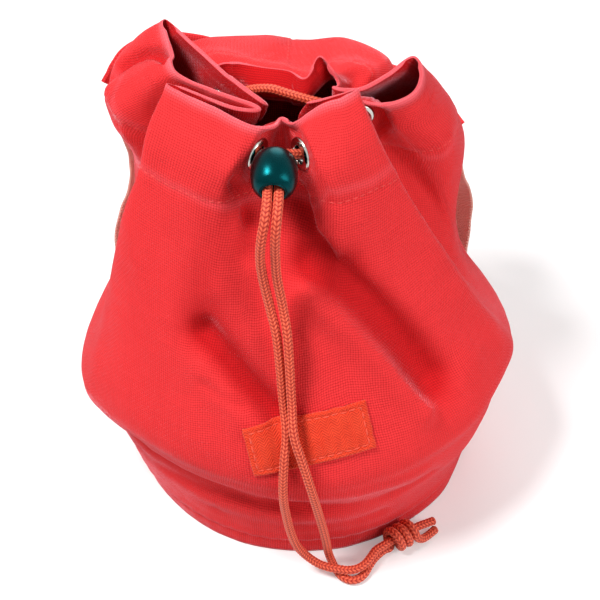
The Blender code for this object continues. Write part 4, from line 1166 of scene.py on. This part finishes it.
def build_eyelets(frames, material):
    """Each eyelet is a rolled flange with its barrel outside, and a washer inside."""
    bore = EYELET_BORE / 2
    rim = EYELET_OUTER / 2
    barrel = bore + EYELET_METAL
    crown = 2.2 * EYELET_METAL
    deep = HEM_CANVAS + GAP
    curl = 0.0011
    fall = 0.0013
    wide = rim * 0.94
    flange = [(bore, -deep - EYELET_METAL), (bore, -deep * 0.5), (bore, 0.0)]
    flange += arc((bore + curl, crown - 0.0006), (curl, 0.0009), 180, 90, 7)
    flange += arc((rim - fall, GAP), (fall, crown - GAP + 0.00005), 62, 0, 7)
    flange += [(rim - 0.0002, GAP * 0.7), (rim - 0.0011, GAP), (barrel, GAP),
               (barrel, -deep - EYELET_METAL)]
    washer = [(barrel + GAP, 0.0), (wide, 0.0)]
    washer += arc((wide - 0.0004, -EYELET_METAL / 2), (0.0005, EYELET_METAL / 2), 60, -60, 4)
    washer += [(wide - 0.0006, -EYELET_METAL), (barrel + GAP + 0.0004, -EYELET_METAL * 1.15),
               (barrel + GAP, -EYELET_METAL)]
    # Painted shade: whole inside the bores, and three tenths on the washers.
    dark = [1.0 if height < 0.0 and radius < bore * 1.1 else 0.0 for radius, height in flange]
    washer_shade = [0.3] * len(washer)
    for name, centre, normal in frames:
        front = turned_object("nickel_" + name, flange, 72, material, centre, normal, dark)
        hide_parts("eyelet_" + name)
        back = turned_object("backing_" + name, washer, 56, material, centre - normal * deep, normal,
                             washer_shade)
        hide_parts("washer_" + name)


def build_bead(material):
    """The barrel of the cord lock, turned about its own bore, with eased edges."""
    outer = BEAD_WIDTH / 2
    half = BEAD_LENGTH / 2
    bore = BEAD_BORE / 2
    control = [
        (bore * 1.10, -half * 0.99), (outer * 0.66, -half), (outer * 0.88, -half * 0.80),
        (outer * 1.01, -half * 0.42), (outer * 1.045, 0.0), (outer * 1.01, half * 0.42),
        (outer * 0.88, half * 0.80), (outer * 0.66, half), (bore * 1.10, half * 0.99),
        (bore, half * 0.86), (bore, -half * 0.86),
    ]
    profile = []
    for i in range(len(control)):
        p = [np.array(control[(i + k) % len(control)]) for k in (-1, 0, 1, 2)]
        profile += [tuple(catmull(*p, k / 6)) for k in range(6)]
    bead = turned_object("bead_barrel", profile, 96, material, np.array(BEAD_CENTRE) * MM, BEAD_AXIS,
                         body="lock")
    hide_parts("cord_lock_bead")


# The patch and the straps.

def patch_grid(tree):
    """Lay the patch on the cloth: its flat coordinates, places, heights over them and way out."""
    centre = np.array(PATCH_CENTRE) * MM
    across = unit(np.array(PATCH_ACROSS, dtype=float))
    out = -unit(np.cross(across, np.array(PATCH_DOWN, dtype=float)))
    down = np.cross(across, out)
    heights = np.zeros((PATCH_ROWS + 1, PATCH_COLUMNS + 1))
    places = np.zeros((*heights.shape, 3))
    fields = np.zeros((*heights.shape, 2))
    for j in range(PATCH_ROWS + 1):
        for i in range(PATCH_COLUMNS + 1):
            x = PATCH_WIDTH * (i / PATCH_COLUMNS - 0.5)
            y = PATCH_HEIGHT * (j / PATCH_ROWS - 0.5)
            x += PATCH_WANDER * noise.noise(Vector((y * 300, 3.0, i // PATCH_COLUMNS * 5.0)))
            y += PATCH_WANDER * noise.noise(Vector((x * 260, 8.0, j // PATCH_ROWS * 5.0)))
            place = centre + across * x + down * y
            hit = tree.ray_cast(Vector(place + out * PATCH_PROBE), Vector(-out))
            heights[j, i] = (np.array(hit[0]) - place) @ out
            places[j, i] = place
            fields[j, i] = (x, y)
    for _ in range(BRIDGE_PASSES):
        padded = np.pad(heights, 1, mode="edge")
        mean = (padded[:-2, 1:-1] + padded[2:, 1:-1] + padded[1:-1, :-2] + padded[1:-1, 2:]) / 4
        heights = np.maximum(heights, mean)
    return fields, places, heights, out


def patch_thickness(fields):
    """Return the patch's thickness: rounded edges, a sewn groove, soft lumps and zigzag ribs."""
    x = fields[..., 0]
    y = fields[..., 1]
    edge = np.clip(np.minimum(PATCH_WIDTH / 2 - np.abs(x), PATCH_HEIGHT / 2 - np.abs(y)), 0, None)
    rounded = np.sqrt(np.clip(1 - (1 - np.clip(edge / PATCH_EDGE, 0, 1)) ** 2, 0, 1))
    lumps = np.array([[noise.noise(Vector((a * 420, b * 420, 5.0))) for a, b in row] for row in fields])
    ribs = np.sin((y + np.abs((x + 0.1) % (2 * ZIGZAG) - ZIGZAG)) * 2 * math.pi / ZIGZAG_RIB)
    return (PATCH_THICK * (0.25 + 0.75 * rounded) + relief(edge - STITCH_INSET, PATCH_GROOVE)
            + PATCH_LUMPS * lumps + PATCH_RIBS * ribs * rounded)


def patch_seam(share):
    """Return the place on the patch's rectangular seam at a share of the way round it."""
    width = PATCH_WIDTH - 2 * STITCH_INSET
    height = PATCH_HEIGHT - 2 * STITCH_INSET
    run = share * 2 * (width + height)
    if run < width:
        return run - width / 2, -height / 2
    if run < width + height:
        return width / 2, run - width - height / 2
    if run < 2 * width + height:
        return width / 2 - (run - width - height), height / 2
    return -width / 2, height / 2 - (run - 2 * width - height)


def build_patch(cloth, tape, thread):
    """The sewn herringbone patch, laid on the curve of the front, with its stitches."""
    fields, places, heights, out = patch_grid(cloth["tree"])
    upper = places + out * (heights + GAP + patch_thickness(fields))[..., None]
    lower = places + out * (heights + GAP * 0.6)[..., None]
    count = PATCH_COLUMNS + 1
    total = count * (PATCH_ROWS + 1)
    quads = grid_quads(PATCH_ROWS + 1, count, closed=False)
    uv = grid_corners(fields)
    border = list(range(count)) + [(j + 1) * count - 1 for j in range(1, PATCH_ROWS + 1)]
    border += [PATCH_ROWS * count + i for i in range(PATCH_COLUMNS - 1, -1, -1)]
    border += [j * count for j in range(PATCH_ROWS - 1, 0, -1)]
    sides = [(a, b, b + total, a + total) for a, b in zip(border, border[1:] + border[:1])]
    flat = fields.reshape(-1, 2)
    side_uv = np.array([[flat[a], flat[b], flat[b], flat[a]] for a, b, _, _ in sides])
    patch = make_object("herringbone_patch", np.vstack([upper.reshape(-1, 3), lower.reshape(-1, 3)]),
                        np.concatenate([quads[:, ::-1], quads + total, sides]).tolist(), tape,
                        np.concatenate([uv[:, ::-1], uv, side_uv]))
    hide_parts("front_patch")
    seam = []
    for share in np.linspace(0, 1, 240, endpoint=False):
        a, b = patch_seam(share)
        i = int(round((a / PATCH_WIDTH + 0.5) * PATCH_COLUMNS))
        j = int(round((b / PATCH_HEIGHT + 0.5) * PATCH_ROWS))
        seam.append(upper[j, i])
    stitches("patch_stitches", [(seam, [out] * len(seam))], thread,
             length=0.0030, space=0.0009, radius=0.00030, lift=0.00022)


def strap_frame(line, i):
    """Return the way along a strap and the way out from the bag at one point of its line."""
    ahead = unit(line[min(i + 1, len(line) - 1)] - line[max(i - 1, 0)])
    out = np.array((line[i][0], line[i][1], 0.0))
    out = out - ahead * (out @ ahead)
    return ahead, unit(out)


def seat_on_cloth(tree, place, side, out, width, thick):
    """Move a strap's end along its own out direction until it just clears the cloth."""
    lift = -1.0
    for share in (-0.5, -0.3, -0.1, 0.1, 0.3, 0.5):
        probe = place + side * width * share
        hit = tree.ray_cast(Vector(probe + out * PROBE_START), Vector(-out), PROBE_REACH)
        if hit[0] is not None:
            lift = max(lift, (np.array(hit[0]) - place) @ out)
    return place + out * (lift + GAP + thick / 2)


def strap_line(tree, route, width, thick, lower):
    """Read a strap's line, with its upper or lower end seated on the cloth that it is sewn to."""
    line = smooth_line(np.array(route, dtype=float) * MM, 3)
    index = len(line) - 1 if lower else 0
    ahead, out = strap_frame(line, index)
    if lower:
        out = unit(np.array((line[index][0], line[index][1], 0.0)))
    side = unit(np.cross(ahead, out))
    line[index] = seat_on_cloth(tree, line[index], side, out, width, thick)
    return line


def flat_strap(name, line, outs, width, thick, material, node, crease_inset):
    """Sweep a rounded flat section along a line that faces the way given."""
    fine = smooth_line(line * 1000, 10) / 1000
    facing = read_line(np.linspace(0, len(line) - 1, len(fine)), np.arange(len(line)), outs)
    ahead = unit(np.gradient(fine, axis=0))
    facing = unit(facing - ahead * np.sum(facing * ahead, axis=1, keepdims=True))
    side = np.cross(ahead, facing)
    run = way_run(fine)
    section = [(x, 1.0) for x in np.linspace(-1, 1, STRAP_SIDES)]
    section += [(x, -1.0) for x in np.linspace(1, -1, STRAP_SIDES)]
    points = np.zeros((len(fine), len(section), 3))
    fields = np.zeros((len(fine), len(section) + 1, 2))
    for n, (x, top) in enumerate(section):
        near = (1 - abs(x)) * width / 2
        body = math.sqrt(max(0.0, 1 - (1 - min(1.0, near / (thick * STRAP_ROUND))) ** 2))
        crease = relief(near - crease_inset, STRAP_CREASE) if crease_inset else 0.0
        height = top * thick / 2 * (max(STRAP_LEAST, body) - crease)
        wavy = STRAP_WAVE * np.sin(run * STRAP_WAVE_RATE + x * 2) * abs(x)
        points[:, n] = fine + side * (width / 2 * x) + facing * (height + wavy)[:, None]
        fields[:, n, 0] = width / 2 * x + (UNDER_SHIFT if top < 0 else 0)
        fields[:, n, 1] = run
    fields[:, -1] = fields[:, 0]
    plain = np.zeros(points.shape[:2])
    strap = tube_object(name, points, fields, material, {"wear_and_sheen_mark": plain, "painted_shade": plain})
    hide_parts(node)
    return fine, facing, side


def build_straps(cloth, canvas, webbing, thread):
    """The two shoulder straps: canvas above, with webbing sewn under its lower end."""
    under = (STRAP_THICK + WEBBING_THICK) / 2 + 2 * GAP
    lines = []
    for hand, upper, lower in (("left", STRAP_LEFT, WEBBING_LEFT), ("right", STRAP_RIGHT, WEBBING_RIGHT)):
        line = strap_line(cloth["tree"], upper, STRAP_WIDTH, STRAP_THICK, False)
        frames = [strap_frame(line, i) for i in range(len(line))]
        outs = np.array([out for _, out in frames])
        fine, facing, side = flat_strap("strap_" + hand, line, outs, STRAP_WIDTH, STRAP_THICK, canvas,
                                        "strap_canvas_" + hand, STRAP_SEAM)
        for x in (-1, 1):
            offset = side * (STRAP_WIDTH / 2 - STRAP_SEAM) * x + facing * STRAP_THICK * 0.44
            lines.append((fine + offset, facing))
        sewn = [line[i] - frames[i][1] * under for i in (-3, -2, -1)]
        route = [sewn[-1] / MM] + list(lower)
        rest = strap_line(cloth["tree"], route, WEBBING_WIDTH, WEBBING_THICK, True)
        tape = np.vstack([sewn[:-1], rest])
        turns = frames[-3:] + [strap_frame(tape, i) for i in range(3, len(tape))]
        tape_outs = np.array([out for _, out in turns])
        flat_strap("webbing_" + hand, tape, tape_outs, WEBBING_WIDTH, WEBBING_THICK, webbing,
                   "strap_webbing_" + hand, 0)
    stitches("strap_stitches", lines, thread, lift=0.00004)


# Camera, floor and light.

def add_camera():
    """The camera at the photograph's viewing angle."""
    data = bpy.data.cameras.new("camera")
    data.sensor_width = 36.0
    data.lens = LENS
    data.clip_start = 0.01
    camera = bpy.data.objects.new("camera", data)
    camera.matrix_world = Matrix.Translation(EYE) @ Matrix.Rotation(math.radians(90 - PITCH), 4, "X")
    bpy.context.scene.collection.objects.link(camera)
    bpy.context.scene.camera = camera


def add_lamp(name, place, aim, size, power):
    """A soft round lamp that looks at a point."""
    data = bpy.data.lights.new(name, "AREA")
    data.shape = "DISK"
    data.size = size
    data.energy = power
    lamp = bpy.data.objects.new(name, data)
    lamp.location = place
    way = Vector(aim) - Vector(place)
    lamp.rotation_euler = way.to_track_quat("-Z", "Y").to_euler()
    bpy.context.scene.collection.objects.link(lamp)


def seen_directly(tree):
    """Return a socket that is 1 for camera, mirror and glass rays."""
    path = tree.nodes.new("ShaderNodeLightPath")
    seen = path.outputs["Is Camera Ray"]
    for ray in ("Is Glossy Ray", "Is Transmission Ray"):
        most = tree.nodes.new("ShaderNodeMath")
        most.operation = "MAXIMUM"
        tree.links.new(seen, most.inputs[0])
        tree.links.new(path.outputs[ray], most.inputs[1])
        seen = most.outputs[0]
    return seen


def add_world():
    """A white surround, dimmer for what it throws on the object than for what is seen."""
    world = bpy.data.worlds.new("surround")
    world.use_nodes = True
    tree = world.node_tree
    back = tree.nodes["Background"]
    back.inputs["Color"].default_value = (1.0, 1.0, 1.0, 1.0)
    level = tree.nodes.new("ShaderNodeMapRange")
    tree.links.new(seen_directly(tree), level.inputs["Value"])
    level.inputs["To Min"].default_value = WORLD_LEVEL
    level.inputs["To Max"].default_value = 1.0
    tree.links.new(level.outputs["Result"], back.inputs["Strength"])
    bpy.context.scene.world = world


def add_floor():
    """A wide pale floor that reads as white and keeps the object's shadow."""
    f = Finish("floor")
    glow = f.times(seen_directly(f.tree), FLOOR_LIFT)
    f.surface((0.80, 0.80, 0.80), Roughness=0.9, Specular_IOR_Level=0.1,
              Emission_Color=(1.0, 1.0, 1.0), Emission_Strength=glow)
    mesh = bpy.data.meshes.new("floor")
    far = FLOOR_REACH
    mesh.from_pydata([(-far, -far, 0), (far, -far, 0), (far, far, 0), (-far, far, 0)], [],
                     [(0, 1, 2, 3)])
    mesh.materials.append(f.material)
    floor = bpy.data.objects.new("floor", mesh)
    floor.location = (0, 0, -FLOOR_GAP)
    bpy.context.scene.collection.objects.link(floor)


def main():
    """Build every visible piece, then its stage."""
    bpy.context.scene.view_settings.view_transform = "Standard"
    add_camera()
    build_cords(braid_material())
    canvas = canvas_material("canvas", CANVAS_PALE, CANVAS_DEEP)
    strap_canvas = canvas_material("strap_canvas", STRAP_PALE, STRAP_DEEP)
    canvas_thread = thread_material("canvas_thread", SEWING_PALE, SEWING_DEEP)
    tape_thread = thread_material("tape_thread", TAPE_SEWING_PALE, TAPE_SEWING_DEEP)
    net = control_net()
    frames = eyelet_frames(net)
    cloth = build_cloth(net, frames, canvas)
    build_hem_stitches(cloth, canvas_thread)
    build_base(cloth, canvas)
    build_eyelets(frames, nickel_material())
    build_bead(bead_material())
    build_patch(cloth, herringbone_material(), tape_thread)
    build_straps(cloth, strap_canvas, webbing_material(), canvas_thread)
    add_floor()
    add_world()
    for name, place, aim, size, power in LAMPS:
        add_lamp(name, place, aim, size, power)


main()
